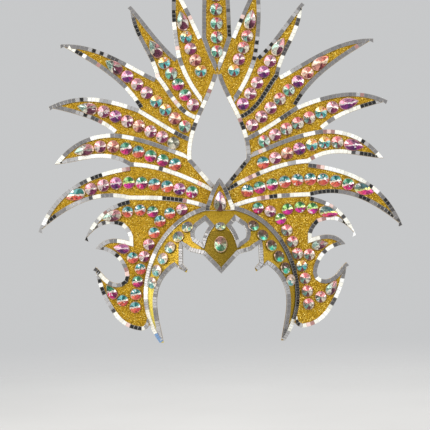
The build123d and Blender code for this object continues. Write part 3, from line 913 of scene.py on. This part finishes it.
# %% Strips of the side feathers
# of each feather: its upper and its lower strip on the left, then the same on the right
FEATHER_CHARTS = [
    ("gwwwgwww", "gkgkwsswgwwwwk", "gggggmww", "ggsggmmswwgs"),
    ("gggggggg", "gdkggdwwwgwdww", "gsgsgmmm", "kwdwwddwgkkkkkkkg"),
    ("gggmmdgwwg", "gwkggggggwwk", "ggggggsw", "gggggggk"),
    ("ggmwswswwwdg", "gggsmdww", "ggsgggwwgdwwgg", "gmkwwwgw"),
    ("wgggwwgwgggsww", "mswwwsgwwwwwwww", "wgmwwwpgwggggssd", "kkmwwwwwwswwwpwkw"),
    ("swssssswkwwp", "skgsswgwwwwkkws", "dgdkgwmwwwwwpd", "gkdgkggkkkwwgkpwww"),
]


def seam_path(number, shift=0.0):
    """A seam's curve, moved towards the feather below it."""
    notch, root, pulls, _ = SEAMS[number]
    along = (root - notch) / np.hypot(*(root - notch))
    step = np.array([-along[1], along[0]]) * shift
    return bowed(notch + step, root + step, *pulls)


for number, (tip_x, tip_z, upper_pulls, lower_pulls) in enumerate(FEATHERS):
    tip = fan(tip_x, tip_z)
    upper_seam, lower_seam = seam_path(number, JOIN), seam_path(number + 1)
    upper = [bowed(tip, upper_seam[0], *upper_pulls)]
    lower = [bowed(tip, lower_seam[0], *lower_pulls)]
    if SEAMS[number][3] == "below":
        upper.append(upper_seam)
    if SEAMS[number + 1][3] == "above":
        lower.append(lower_seam)
    runs = [
        cut_at(*lay_tiles(upper, +1), *fan_limits, beside(lower[:1], -1, JOIN / 2)),
        cut_at(*lay_tiles(lower, -1), *fan_limits, beside(upper[:1], +1, BESIDE_STRIP)),
    ]
    charts = {"left": FEATHER_CHARTS[number][:2], "right": FEATHER_CHARTS[number][2:]}
    place = "{}_" + str(number + 1)
    tile_count += both_sides(
        "tiles_feather_" + place, "feather_strip_" + place, runs, charts, fan_seat)
print(tile_count, "tiles with the side feathers")

# %% [markdown]
# A wing's outer edge is a chain of edges from its horn to its foot, with a spike between the
# bays. It could be one long strip, but at a spike's point the tiles would fold over. So it is
# laid as four runs that end against each other at the points.

# %% Strips of the wings
# of each wing: the top edge, the upper bay, the lower bay and the foot
WING_CHARTS = {
    "left": ("kkksspwwswssk", "kskdswskwswwwwggsss", "sdsskwsgpkkgsgwwks", "sskwksssdwwwkkkwsg"),
    "right": ("kggwpswdwwww", "kwkswwpkdwwggggg", "gdwdwgggwggggg", "gggwwwwdwwwwwpwskw"),
}


def wing_curves(start, table):
    """The joined curves of a table of the wing's edges."""
    curves = []
    for end_x, end_z, pull_a, pull_b in table:
        end = wing(end_x, end_z)
        curves.append(bowed(start, end, pull_a, pull_b))
        start = end
    return curves


horn_top = wing_curves(seam_path(6, JOIN)[0], HORN_TOP)
upper_bay = wing_curves(horn_top[-1][-1], UPPER_BAY)
lower_bay = wing_curves(upper_bay[-1][-1], LOWER_BAY)
wing_foot = wing_curves(lower_bay[-1][-1], WING_FOOT)
wing_runs = [
    cut_at(*lay_tiles(horn_top, -1), beside(upper_bay[:1], -1, JOIN / 2)),
    cut_at(
        *lay_tiles(upper_bay, -1), beside(horn_top, -1, BESIDE_STRIP), beside(lower_bay[:1], -1, JOIN / 2)),
    cut_at(
        *lay_tiles(lower_bay, -1), beside(upper_bay[2:], -1, BESIDE_STRIP),
        beside(wing_foot[:1], -1, JOIN / 2)),
    cut_at(*lay_tiles(wing_foot, -1), beside(lower_bay[2:], -1, BESIDE_STRIP), outside_rim),
]
tile_count += both_sides("tiles_wing_{}", "wing_strip_{}", wing_runs, WING_CHARTS, fan_seat)
print(tile_count, "tiles on the fan")

# %% [markdown]
# The band has its tiles along the rim, along the inner outline and round the two leaf-shaped
# openings. They are shorter along the strip than those of the fan, so that flat tiles can follow
# its curve. The rim's strip stops at the socket of the spire.

# %% Strip of the band's rim
BAND_TILE = 3.2 * MM
RIM_CHARTS = pair_charts("gsgssswsswswwb", "gggggddkkkkdws")
socket_half = spire_half_width + JOIN
first_angle = np.arccos(socket_half / band_half_width)
last_angle = -np.arcsin(BAND_WAIST / BAND_TUCK)
rim_run = lay_tiles([rim_arc(first_angle, last_angle)], -1, pitch=BAND_TILE)
tile_count += symmetric(
    "tiles_band_rim", "band_rim_strip", [rim_run], RIM_CHARTS, ball_seat, strays=0.0)
print("the rim's strip begins", round(socket_half / MM, 1), "mm from the middle")

# %% [markdown]
# The inner outline has a notch and a small hook on either side, where two strips would lie on
# each other. The upper strip runs on to the hook's point, and the one along the leg is cut at
# it. A leaf's opening has five edges. Each is laid with its two neighbours, so that its ends are
# mitred, and then only its own tiles are kept.

# %% Strips of the band's inner edges
UPPER_CHARTS = ("ggggdgg", "ggsgggg")
LEG_CHARTS = ("ggggsgss", "gggsgggd")
LEAF_CHARTS = ("ggg", "ggs")


def beyond_hook(points):
    """Positive beyond the strip along the upper edge of the hook."""
    start, end = BAND_CORNERS[4], BAND_CORNERS[5]
    along = (end - start) / np.hypot(*(end - start))
    return (points - start) @ np.array([-along[1], along[0]]) - STRIP_WIDTH - JOIN


def middle_edge(three_edges):
    """The tiles of the middle one of three joined edges, with both its ends mitred."""
    quads, places = lay_tiles(three_edges, -1, pitch=BAND_TILE)
    ends = np.cumsum([np.linalg.norm(np.diff(edge, axis=0), axis=1).sum() for edge in three_edges])
    kept = (places > ends[0] / ends[2]) & (places < ends[1] / ends[2])
    return quads[kept], places[kept]


upper_lines = [bowed(start, end) for start, end in zip(BAND_CORNERS[:5], BAND_CORNERS[1:6])]
upper_run = lay_tiles(upper_lines, +1, pitch=BAND_TILE)
leg_lines = [
    bowed(BAND_CORNERS[6], BAND_CORNERS[7]),
    bowed(BAND_CORNERS[7], BAND_CORNERS[8], *LEG_PULLS),
]
leg_run = cut_at(*lay_tiles(leg_lines, +1, pitch=BAND_TILE), beyond_hook, inside_rim_strip)
top, inner, inner_middle, bottom, low, outer_middle, high = LEAF
leaf_lines = [
    bowed(top, inner), arc(inner, inner_middle, bottom), bowed(bottom, low),
    arc(low, outer_middle, high), bowed(high, top),
]
leaf_runs = [
    middle_edge([leaf_lines[number - 1], line, leaf_lines[(number + 1) % len(leaf_lines)]])
    for number, line in enumerate(leaf_lines)
]
inner_runs = [cut_at(*upper_run, right_of_middle), leg_run, *leaf_runs]
inner_charts = {
    side: [UPPER_CHARTS[number], LEG_CHARTS[number]] + [LEAF_CHARTS[number]] * len(leaf_runs)
    for number, side in enumerate(("left", "right"))
}
tile_count += symmetric(
    "tiles_band_inner", "band_inner_strip", inner_runs, inner_charts, ball_seat, strays=0.0)
print(tile_count, "tiles with the band")

# %% [markdown]
# The spire is a small pointed plate. Its strip runs from its point down either side to a
# shoulder and on to its foot, on the flat front of the spire.

# %% Strip of the spire
SPIRE_CHARTS = pair_charts("gggsgd", "ggdgww")
spire_corner = np.array([spire_half_width, spire_foot + SPIRE_SHOULDER])
spire_base = np.array([spire_half_width, spire_foot])
spire_path = [
    bowed(np.array([0.0, spire_foot + spire_length]), spire_corner, *SPIRE_PULLS),
    bowed(spire_corner, spire_base),
]
spire_run = cut_at(*lay_tiles(spire_path, -1, pitch=BAND_TILE), right_of_middle)
tile_count += symmetric(
    "tiles_spire", "spire_strip", [spire_run], SPIRE_CHARTS, flat_seat(spire_front), strays=0.0)
print(tile_count, "tiles in all")

# %% [markdown]
# Next come the stones. Their places could be worked out again, but the frame already has them:
# each loose solid of a stone node is one stone. So the solids are told apart by following their
# edges from corner to corner, until all corners that hang together have the same label.

# %% Telling the stones apart
def loose_solids(node):
    """The corners of each loose solid of a node, as a list of arrays. Corners at one place
    count as one. Every corner starts with its own label, and takes the lowest label that an
    edge leads to, until nothing changes."""
    mesh = node.data
    points = np.zeros(len(mesh.vertices) * 3, np.float32)
    mesh.vertices.foreach_get("co", points)
    points = points.reshape(-1, 3).astype(float)
    keys, merged = np.unique(np.round(points / MICRON).astype(np.int64), axis=0, return_inverse=True)
    merged = merged.ravel()
    ends = np.zeros(len(mesh.edges) * 2, np.int32)
    mesh.edges.foreach_get("vertices", ends)
    ends = merged[ends.reshape(-1, 2)]
    label = np.arange(len(keys))
    while True:
        lowest = np.minimum(label[ends[:, 0]], label[ends[:, 1]])
        fresh = label.copy()
        np.minimum.at(fresh, ends[:, 0], lowest)
        np.minimum.at(fresh, ends[:, 1], lowest)
        if (fresh == label).all():
            break
        label = fresh
    places = np.zeros((len(keys), 3))
    places[merged] = points
    return [places[label == kind] for kind in np.unique(label)]


print("the right wing holds", len(loose_solids(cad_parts["wing_stones_right"])), "stones")

# %% [markdown]
# A stone's corners also tell how it lies. The ring of corners at the height of its girdle gives
# its middle, its length and its width. The longest direction of that ring is the way it points,
# and a pear points away from where it is widest. A stone on the fan faces the front, and one on
# the band faces straight out of the ball.

# %% How a stone lies
GIRDLE_HEIGHT = 2.2 * MM
SAME_HEIGHT = 0.2 * MM
ROUND_LIMIT = 1.05
OVAL_LIMIT = 0.02
CAD_SIDES = 10


def stone_out(corners, on_ball):
    """The way a stone faces: to the front, or straight out of the ball."""
    if not on_ball:
        return np.array([0.0, -1.0, 0.0])
    out = corners.mean(axis=0) - ball_centre
    return out / np.linalg.norm(out)


def stone_seat(corners, out):
    """A stone's middle on its seat, the way it points, its length and its width. The axes of
    the girdle are the eigenvectors of its corners' spread. A ten-sided oval is measured from
    flat to flat, so its length is divided by the cosine of half a side's angle."""
    heights = corners @ out
    seat_level = heights.min()
    side = np.cross(out, [0.0, 0.0, 1.0])
    side /= np.linalg.norm(side)
    up = np.cross(side, out)
    drawn = np.stack([corners @ side, corners @ up], axis=1)
    girdle = drawn[np.abs(heights - seat_level - GIRDLE_HEIGHT) < SAME_HEIGHT]
    mean = girdle.mean(axis=0)
    reach = np.linalg.norm(girdle - mean, axis=1)
    if reach.max() < ROUND_LIMIT * reach.min():
        diameter = 2 * reach.max()
        return side * mean[0] + up * mean[1] + out * seat_level, side, diameter, diameter
    axes = np.linalg.eigh((girdle - mean).T @ (girdle - mean))[1]
    along, across = girdle @ axes[:, 1], girdle @ axes[:, 0]
    length, width = np.ptp(along), np.ptp(across)
    half_way = (along.max() + along.min()) / 2
    middle = axes[:, 1] * half_way + axes[:, 0] * (across.max() + across.min()) / 2
    breadth = (across - middle @ axes[:, 0]) ** 2
    widest = (breadth * (along - half_way)).sum() / breadth.sum()
    if abs(widest) < OVAL_LIMIT * length:
        length /= np.cos(pi / CAD_SIDES)
    point = axes[:, 1] * (-1 if widest > 0 else 1)
    centre = side * middle[0] + up * middle[1] + out * seat_level
    return centre, side * point[0] + up * point[1], length, width


oval_corners = loose_solids(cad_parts["oval_stone"])[0]
oval_seat = stone_seat(oval_corners, stone_out(oval_corners, True))
print("the oval is", round(oval_seat[2] / MM, 1), "by", round(oval_seat[3] / MM, 1), "mm")

# %% [markdown]
# The stones are pointed crystals: a narrow foot, a girdle, a ground edge, a crown of facets and
# a small table. A plain cone with its top cut off would have one long facet a side, and would
# flash all at once. So the upper rings are turned by half a side each, and triangles run between
# them, as on the real cut.

# %% Cutting stones
STONE_SIDES = 16
PEAR_POWER = 0.7
PEAR_BREADTH = 0.821
PEAR_FROM = 1.5
# share of the outline, height in mm, and the turn in sides
RINGS = [
    (0.50, 0.0, 0.0),
    (0.96, 1.5, 0.0),
    (1.00, 2.1, 0.0),
    (0.89, 2.9, 0.0),
    (0.50, 4.1, 0.5),
    (0.13, 5.0, 1.0),
]
EDGE_LEVEL = 3


def girdle_outline(length, width, turn):
    """A stone's outline with its point towards +X: an ellipse, or a pear where the length is
    well over the width. A pear's width follows sin(a) sin(a / 2)^0.7, over its largest
    value."""
    angle = 2 * pi * (np.arange(STONE_SIDES) + turn) / STONE_SIDES
    x = length / 2 * np.cos(angle)
    if length < PEAR_FROM * width:
        return np.stack([x, width / 2 * np.sin(angle)], axis=1)
    breadth = np.sin(angle) * np.abs(np.sin(angle / 2)) ** PEAR_POWER
    return np.stack([x, width / 2 * breadth / PEAR_BREADTH], axis=1)


def stone_facets():
    """The faces between the rings of one stone, and the level of each. Two rings that are
    turned against each other are joined by triangles, and others by squares."""
    sides = np.arange(STONE_SIDES)
    following = (sides + 1) % STONE_SIDES
    faces, levels = [list(sides[::-1])], [0]
    for level in range(1, len(RINGS)):
        low, high = (level - 1) * STONE_SIDES, level * STONE_SIDES
        if RINGS[level][2] == RINGS[level - 1][2]:
            rows = [(sides + low, following + low, following + high, sides + high)]
        else:
            rows = [
                (sides + low, following + low, sides + high),
                (following + low, following + high, sides + high),
            ]
        for row in rows:
            faces += np.stack(row, axis=1).tolist()
            levels += [level] * STONE_SIDES
    faces.append(list(sides + (len(RINGS) - 1) * STONE_SIDES))
    return faces, np.array(levels + [len(RINGS)])


print("a stone has", len(stone_facets()[0]), "facets")

# %% [markdown]
# The crystals are foiled and have an iridescent coat, whose colour depends on the way a facet
# leans. A thin-film shader would need the real film and a real room round it. It is surer to
# paint each facet: a coat is eight colours for eight sectors of the stone, such as teal above
# and coral below, partly the coat's own colours and partly painted reflection. Some coats keep
# a pale colour, a painted glint, to a band across the middle.

# %% Coats
# Screen colours of the sectors that lean right, upper right, up, upper left, left, lower left,
# down and lower right.
COATS = {
    # rose on pale green
    "A": [(132, 152, 140), (172, 150, 142), (238, 120, 132), (150, 176, 158),
          (104, 156, 142), (112, 196, 168), (106, 74, 76), (206, 238, 224)],
    # teal over coral
    "B": [(246, 238, 226), (62, 138, 132), (44, 126, 128), (40, 116, 122),
          (244, 236, 222), (244, 128, 96), (236, 104, 88), (214, 84, 84)],
    # green over magenta
    "C": [(244, 236, 230), (84, 152, 112), (52, 134, 104), (44, 118, 96),
          (242, 234, 224), (236, 66, 138), (200, 40, 128), (136, 36, 94)],
    # mauve over plum
    "D": [(240, 228, 220), (186, 140, 150), (204, 144, 158), (238, 156, 170),
          (236, 222, 214), (210, 198, 196), (116, 40, 84), (140, 52, 98)],
    # peach over turquoise
    "E": [(124, 172, 164), (240, 160, 108), (244, 200, 112), (240, 226, 164),
          (100, 158, 150), (106, 190, 190), (126, 66, 66), (84, 186, 188)],
    # lilac over violet
    "F": [(240, 226, 232), (184, 110, 160), (168, 114, 152), (226, 136, 166),
          (236, 220, 226), (116, 40, 118), (80, 32, 100), (146, 40, 122)],
    # peach over wine
    "G": [(228, 200, 174), (232, 140, 122), (212, 150, 138), (232, 164, 146),
          (236, 212, 190), (212, 150, 136), (120, 44, 54), (176, 100, 96)],
    # pale grey-green
    "H": [(158, 162, 142), (138, 142, 122), (126, 130, 116), (146, 150, 134),
          (150, 160, 144), (196, 200, 180), (236, 234, 214), (150, 150, 130)],
    # silver over pale lime
    "I": [(196, 216, 156), (150, 148, 140), (126, 124, 136), (112, 146, 136),
          (120, 150, 146), (226, 232, 196), (232, 224, 168), (150, 206, 190)],
    # cream over aqua
    "J": [(214, 200, 170), (232, 206, 190), (208, 186, 178), (170, 182, 174),
          (196, 226, 218), (138, 208, 204), (110, 184, 184), (236, 238, 226)],
    # pink and lilac over olive
    "K": [(206, 190, 184), (214, 142, 156), (158, 140, 186), (236, 192, 202),
          (150, 148, 136), (116, 124, 104), (92, 56, 66), (206, 200, 196)],
    # clay over sea green
    "L": [(132, 136, 108), (150, 130, 104), (160, 120, 112), (164, 126, 116),
          (140, 182, 148), (82, 176, 138), (78, 118, 84), (94, 128, 98)],
    # rose over sea green
    "M": [(186, 178, 164), (222, 140, 140), (240, 132, 140), (234, 156, 154),
          (140, 144, 130), (122, 172, 160), (112, 70, 72), (226, 222, 202)],
    # bronze over bright turquoise
    "N": [(116, 118, 96), (126, 98, 84), (106, 88, 76), (96, 88, 76),
          (104, 118, 98), (104, 156, 124), (66, 214, 186), (116, 206, 160)],
    # moss and rose over wine
    "P": [(176, 168, 158), (204, 146, 152), (150, 148, 140), (118, 148, 136),
          (150, 186, 172), (214, 216, 200), (92, 42, 62), (122, 62, 88)],
    # leaf green over hot pink
    "Q": [(206, 244, 150), (56, 122, 70), (60, 128, 60), (118, 170, 76),
          (214, 240, 150), (246, 66, 176), (226, 40, 178), (176, 50, 134)],
    # slate over pink
    "R": [(222, 232, 130), (66, 108, 118), (84, 122, 126), (112, 140, 132),
          (214, 226, 150), (236, 96, 120), (234, 64, 142), (200, 54, 140)],
}
GLINT_BANDED = "BCDFQR"
print(len(COATS), "coats,", len(GLINT_BANDED), "of them with a pale band")

# %% [markdown]
# Two facets of one sector are never quite alike: they differ in brightness, one in ten is dark
# and a few carry a painted glint of flat pale grey. The whole pattern is turned a little from
# stone to stone. The ground edge picks up a warm light from the gold round it.

# %% Colours of facets
GLINT_BAND_SHARE = 0.15
PATTERN_TURN = 0.10
FACET_LIGHT = (0.62, 1.04)
DARK_SHARE, DARKENED = 0.10, 0.35
GLINT_FROM, PAINTED_GLINT = 0.97, 0.85
RIM_SHARES = (0.15, 0.55)
RIM_GOLD = np.array(srgb(246, 196, 156))


def coat_colours(right, high, levels, coat):
    """A colour for each facet, from where its middle lies on the stone. Both places run from -1
    to 1, and the number of the sector is the angle between them over an eighth turn. A banded
    coat gives its pale left and right sectors, a painted glint, only to a band across the middle."""
    sectors = np.array([srgb(*colour) for colour in COATS[coat]])
    turn = rng.normal(PATTERN_TURN, PATTERN_TURN)
    right, high = right * np.cos(turn) + high * np.sin(turn), high * np.cos(turn) - right * np.sin(turn)
    number = np.round(np.arctan2(high, right) / (pi / 4)).astype(int) % 8
    # painted glint: a banded coat keeps its pale left and right sectors to a band across the middle
    if coat in GLINT_BANDED:
        diagonal = np.where(high > 0, np.where(right > 0, 1, 3), np.where(right > 0, 7, 5))
        number = np.where(number % 4 == 0, diagonal, number)
        number = np.where(np.abs(high) < GLINT_BAND_SHARE, np.where(right > 0, 0, 4), number)
    colours = sectors[number] * rng.uniform(*FACET_LIGHT, (len(number), 1))
    odd = rng.random((len(colours), 1))
    colours = np.where(odd < DARK_SHARE, colours * DARKENED, colours)
    # painted glint: a few facets are set to a flat pale grey
    colours = np.where(odd > GLINT_FROM, PAINTED_GLINT, colours)
    rim_share = rng.uniform(*RIM_SHARES)
    rim_light = RIM_GOLD * rim_share + colours * (1 - rim_share)
    edge = (levels == EDGE_LEVEL)[:, None]
    return np.clip(np.where(edge, rim_light, colours), 0.0, 1.0)


print("one facet in", round(1 / DARK_SHARE), "is dark")

# %% [markdown]
# A whole row of stones is one piece. It could be an instanced stone, but pears, ovals and rounds
# differ, and every stone has its own coat. So the rings of each stone are set on its seat and
# the facets numbered on. Every row is grown until its stones nearly touch, by a tenth at most,
# and long stones by less.

# %% Rows of stones
LARGEST_SWELL = 1.10
PEAR_SWELL = 1.04
NEARLY_TOUCHING = 0.995
LONG_FROM = 1.2


def room_to_grow(seats):
    """How much the stones of a row can grow until neighbours touch: the least distance over
    the sum of two half widths, up to a limit."""
    middles = np.array([seat[0] for seat in seats])
    apart = np.linalg.norm(middles[:, None] - middles[None], axis=2) + np.eye(len(seats))
    widths = np.array([seat[3] for seat in seats])
    touching = (widths[:, None] + widths[None]) / 2
    return min(LARGEST_SWELL, NEARLY_TOUCHING * (apart / touching).min())


def stones_piece(name, node, coats, material, on_ball=False, order=None, swell=(1.0, 1.0)):
    """One object with every stone of a node. The coats are a word with a letter for each stone,
    taken in turn, and the order is a function that ranks the stones by their places. A ring's
    point is the seat's middle plus its outline along the stone and across it, plus its height
    outwards."""
    vertices, faces, colours = [], [], []
    solids = loose_solids(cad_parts[node])
    if order is not None:
        solids = sorted(solids, key=lambda corners: order(corners.mean(axis=0)))
    outs = [stone_out(corners, on_ball) for corners in solids]
    seats = [stone_seat(corners, out) for corners, out in zip(solids, outs)]
    growth = room_to_grow(seats)
    facets, levels = stone_facets()
    sizes = np.array([len(facet) for facet in facets])
    firsts = np.concatenate([[0], np.cumsum(sizes)[:-1]])
    all_corners = np.concatenate(facets)
    for number, ((centre, way, length, width), out) in enumerate(zip(seats, outs)):
        across = np.cross(out, way)
        grown = min(growth, PEAR_SWELL) if length > LONG_FROM * width else growth
        rings = []
        for share, height, turn in RINGS:
            outline = share * girdle_outline(length * swell[0] * grown, width * swell[1] * grown, turn)
            rings.append(centre + outline[:, :1] * way + outline[:, 1:] * across + out * height * MM)
        points = np.concatenate(rings)
        middles = np.add.reduceat(points[all_corners], firsts, axis=0) / sizes[:, None] - centre
        right, high = (middles[:, axis] / np.abs(middles[:, axis]).max() for axis in (0, 2))
        colours.append(coat_colours(right, high, levels, coats[number % len(coats)]))
        vertices.append(points)
        faces += np.split(all_corners + number * len(points), firsts[1:])
    piece = object_from(name, np.concatenate(vertices), faces, material)
    # the coat's colours, partly painted reflection, with painted glints
    paint_faces(piece, "coat", np.concatenate(colours))
    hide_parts(node)
    return len(solids)


print("a row grows by", round(100 * (LARGEST_SWELL - 1)), "% at most")

# %% [markdown]
# The coat's colours are painted on, and the shader adds what polish does: a hard clear surface
# with small glints inside. Real glints come from the pavilion behind, seen through the stone.
# Transmission would need that pavilion and much light, so they are cells of a pattern instead.

# %% Crystal
GLINT = 1.5 * MM
GLINTS = [(0.0, (0.50, 0.43, 0.43)), (0.35, (0.96, 0.88, 0.86)), (1.0, (1.0, 0.98, 0.95))]


def crystal():
    """Each facet's painted coat, broken up by small painted glints, under a hard polish."""
    recipe = Recipe(
        "coated_crystal", Metallic=0.3, Roughness=0.14, Coat_Weight=0.35, Coat_Roughness=0.04,
        Specular_IOR_Level=0.3)
    glints, _ = sparkle(recipe, GLINT, 0.0)
    shade = recipe.ramp(glints, GLINTS)
    return recipe.feed(Base_Color=recipe.mix(1.0, recipe.attribute("coat"), shade, "MULTIPLY"))


stone_material = crystal()
print("the crystal has", len(stone_material.node_tree.nodes), "nodes")

# %% [markdown]
# Each row has a word of coats. A feather's row is read from its outer end
# inwards, and those of the wings and the band from the top down. Some stones look a little
# larger than the frame's, so they are swelled on top of that: the band's, the oval and the
# spire's.

# %% Setting the stones
MIDDLE_COATS = "PAAAAAA"
FEATHER_COATS = {
    "left": ("PEDGE", "PEACCD", "PFDDEEGA", "PDFDGDDH", "PDGCBCCB", "BDDFQCBBFC"),
    "right": ("PMMDE", "PDFDDF", "GGFAMDDD", "FDEMMMDA", "FMEEFGDB", "RCBBBBBCCB"),
}
WING_COATS = {"left": "BDBCBPBBDFDBBCCBBB", "right": "QCQQDRQMMPMMEMPMMM"}
BAND_COATS = {"left": "IIJJJJ", "right": "NNNNNJ"}
BAND_SWELL = (1.10, 1.10)
SPIRE_SWELL = (1.0, 1.05)
OVAL_SWELL = (1.0, 1.08)


def from_outside(place):
    """Ranks the stones of a feather by their distance from the foot of the fan."""
    return -np.hypot(place[0], place[2] - band_top)


def from_top(place):
    """Ranks stones from the highest down."""
    return -place[2]


stone_count = stones_piece(
    "stones_feather_middle", "feather_stones_middle", MIDDLE_COATS, stone_material,
    order=from_outside)
for side in ("left", "right"):
    for number, coats in enumerate(FEATHER_COATS[side], start=1):
        place = side + "_" + str(number)
        stone_count += stones_piece(
            "stones_feather_" + place, "feather_stones_" + place, coats, stone_material,
            order=from_outside)
    stone_count += stones_piece(
        "stones_wing_" + side, "wing_stones_" + side, WING_COATS[side], stone_material,
        order=from_top)
    stone_count += stones_piece(
        "stones_band_" + side, "band_stones_" + side, BAND_COATS[side], stone_material,
        on_ball=True, order=from_top, swell=BAND_SWELL)
stone_count += stones_piece(
    "stone_spire", "spire_stone", "K", stone_material, swell=SPIRE_SWELL)
stone_count += stones_piece(
    "stone_oval", "oval_stone", "L", stone_material, on_ball=True, swell=OVAL_SWELL)
stone_count += stones_piece(
    "stone_top", "top_stone", "I", stone_material, on_ball=True)
print(stone_count, "stones cut")

# %% [markdown]
# The crown is shown upright, as it is worn, a little above a plain pale floor. A large square
# would end in a hard line behind it. So the floor is a disc that fades out with distance, and no
# horizon cuts through the picture from any side.

# %% Floor
FLOOR_LEVEL = -0.26
FLOOR_RADIUS = 3.0
FLOOR_SIDES = 96
FADE_FROM, FADE_TO = 0.5, FLOOR_RADIUS * 0.9
PAPER_PATCH = 0.4


def disc(name, radius, sides):
    """A flat round floor: triangles from its middle to a rim at (radius cos a, radius sin a)."""
    angle = 2 * pi * np.arange(sides) / sides
    rim = np.stack([radius * np.cos(angle), radius * np.sin(angle), np.full(sides, FLOOR_LEVEL)], axis=1)
    number = np.arange(sides)
    faces = np.stack([np.full(sides, sides), number, (number + 1) % sides], axis=1)
    mesh = bpy.data.meshes.new(name)
    mesh.from_pydata(np.concatenate([rim, [[0, 0, FLOOR_LEVEL]]]).tolist(), [], faces.tolist())
    return bpy.data.objects.new(name, mesh)


def floor_paper():
    """Pale paper in soft patches, which fades out with distance from the middle."""
    recipe = Recipe("floor_paper", Roughness=0.9, Specular_IOR_Level=0.1)
    tone = recipe.ramp(
        patches(recipe, PAPER_PATCH, 2.0), [(0.3, srgb(208, 207, 205)), (0.7, srgb(214, 213, 211))])
    distance = recipe.vector("LENGTH", {0: recipe.place()}, output=1)
    return recipe.feed(Base_Color=tone, Alpha=recipe.fade(distance, FADE_FROM, FADE_TO, 1.0, 0.0))


floor = disc("floor", FLOOR_RADIUS, FLOOR_SIDES)
floor.data.materials.append(floor_paper())
bpy.context.scene.collection.objects.link(floor)
print("the floor lies at", FLOOR_LEVEL, "m")

# %% [markdown]
# The light is that of a plain studio. Small bright lamps would make hard spots on the stones,
# and an even room alone would make them dull. So there is a large soft window at the upper left,
# a smaller one at the right, others overhead, low at the left and behind, and a pale room that
# the polished surfaces can show.

# %% Lights
# name, place, what it points at, width and height, watts, colour
LAMPS = [
    ("window", (-1.9, -2.8, 2.2), (0, 0, 0.2), (2.5, 2.2), 100, (1.0, 0.98, 0.95)),
    ("fill", (2.6, -2.4, 1.1), (0, 0, 0.2), (1.6, 2.2), 38, (0.95, 0.98, 1.0)),
    ("top", (0.0, 0.6, 3.1), (0, 0, 0.2), (2.4, 1.4), 30, (1.0, 1.0, 1.0)),
    ("side", (-2.3, -0.5, -0.1), (0, 0, 0.1), (0.8, 1.6), 14, (1.0, 0.98, 0.90)),
    ("behind", (1.2, 3.2, 1.6), (0, 0, 0.2), (2.4, 1.6), 34, (1.0, 0.98, 0.96)),
]
ROOM_COLOUR = (0.82, 0.83, 0.84, 1.0)
ROOM_STRENGTH = 0.70

for name, place, target, size, watts, colour in LAMPS:
    light = bpy.data.lights.new(name, "AREA")
    light.shape = "RECTANGLE"
    light.size, light.size_y = size
    light.energy = watts
    light.color = colour
    lamp = bpy.data.objects.new(name, light)
    lamp.location = place
    lamp.rotation_euler = (Vector(target) - Vector(place)).to_track_quat("-Z", "Y").to_euler()
    bpy.context.scene.collection.objects.link(lamp)

world = bpy.data.worlds.new("studio")
world.use_nodes = True
world.node_tree.nodes["Background"].inputs[0].default_value = ROOM_COLOUR
world.node_tree.nodes["Background"].inputs[1].default_value = ROOM_STRENGTH
bpy.context.scene.world = world
print(len(LAMPS), "lamps in a room of strength", ROOM_STRENGTH)

# %% [markdown]
# The picture is taken straight from the front, a metre and a half away, and very slightly
# askew. Its framing could be found by trial. It is surer to state how much of the fan's plane it
# takes in: the lens is then the sensor's width times the distance over that width.

# %% Camera
VIEW_WIDTH = 0.5246
VIEW_DISTANCE = 1.5
VIEW_MIDDLE = (-0.0062, 0.1551)
VIEW_ROLL = radians(1.1)
SENSOR = 36.0

lens = bpy.data.cameras.new("camera")
lens.sensor_width = SENSOR
lens.lens = SENSOR * VIEW_DISTANCE / VIEW_WIDTH
camera = bpy.data.objects.new("camera", lens)
camera.location = (VIEW_MIDDLE[0], -VIEW_DISTANCE, VIEW_MIDDLE[1])
camera.rotation_euler = (pi / 2, VIEW_ROLL, 0.0)
bpy.context.scene.collection.objects.link(camera)
bpy.context.scene.camera = camera
bpy.context.scene.view_settings.view_transform = "Standard"
print("the lens is", round(lens.lens, 1), "mm")

# %% [markdown]
# At the end the scene is brought up to date.

# %% The end
bpy.context.view_layer.update()
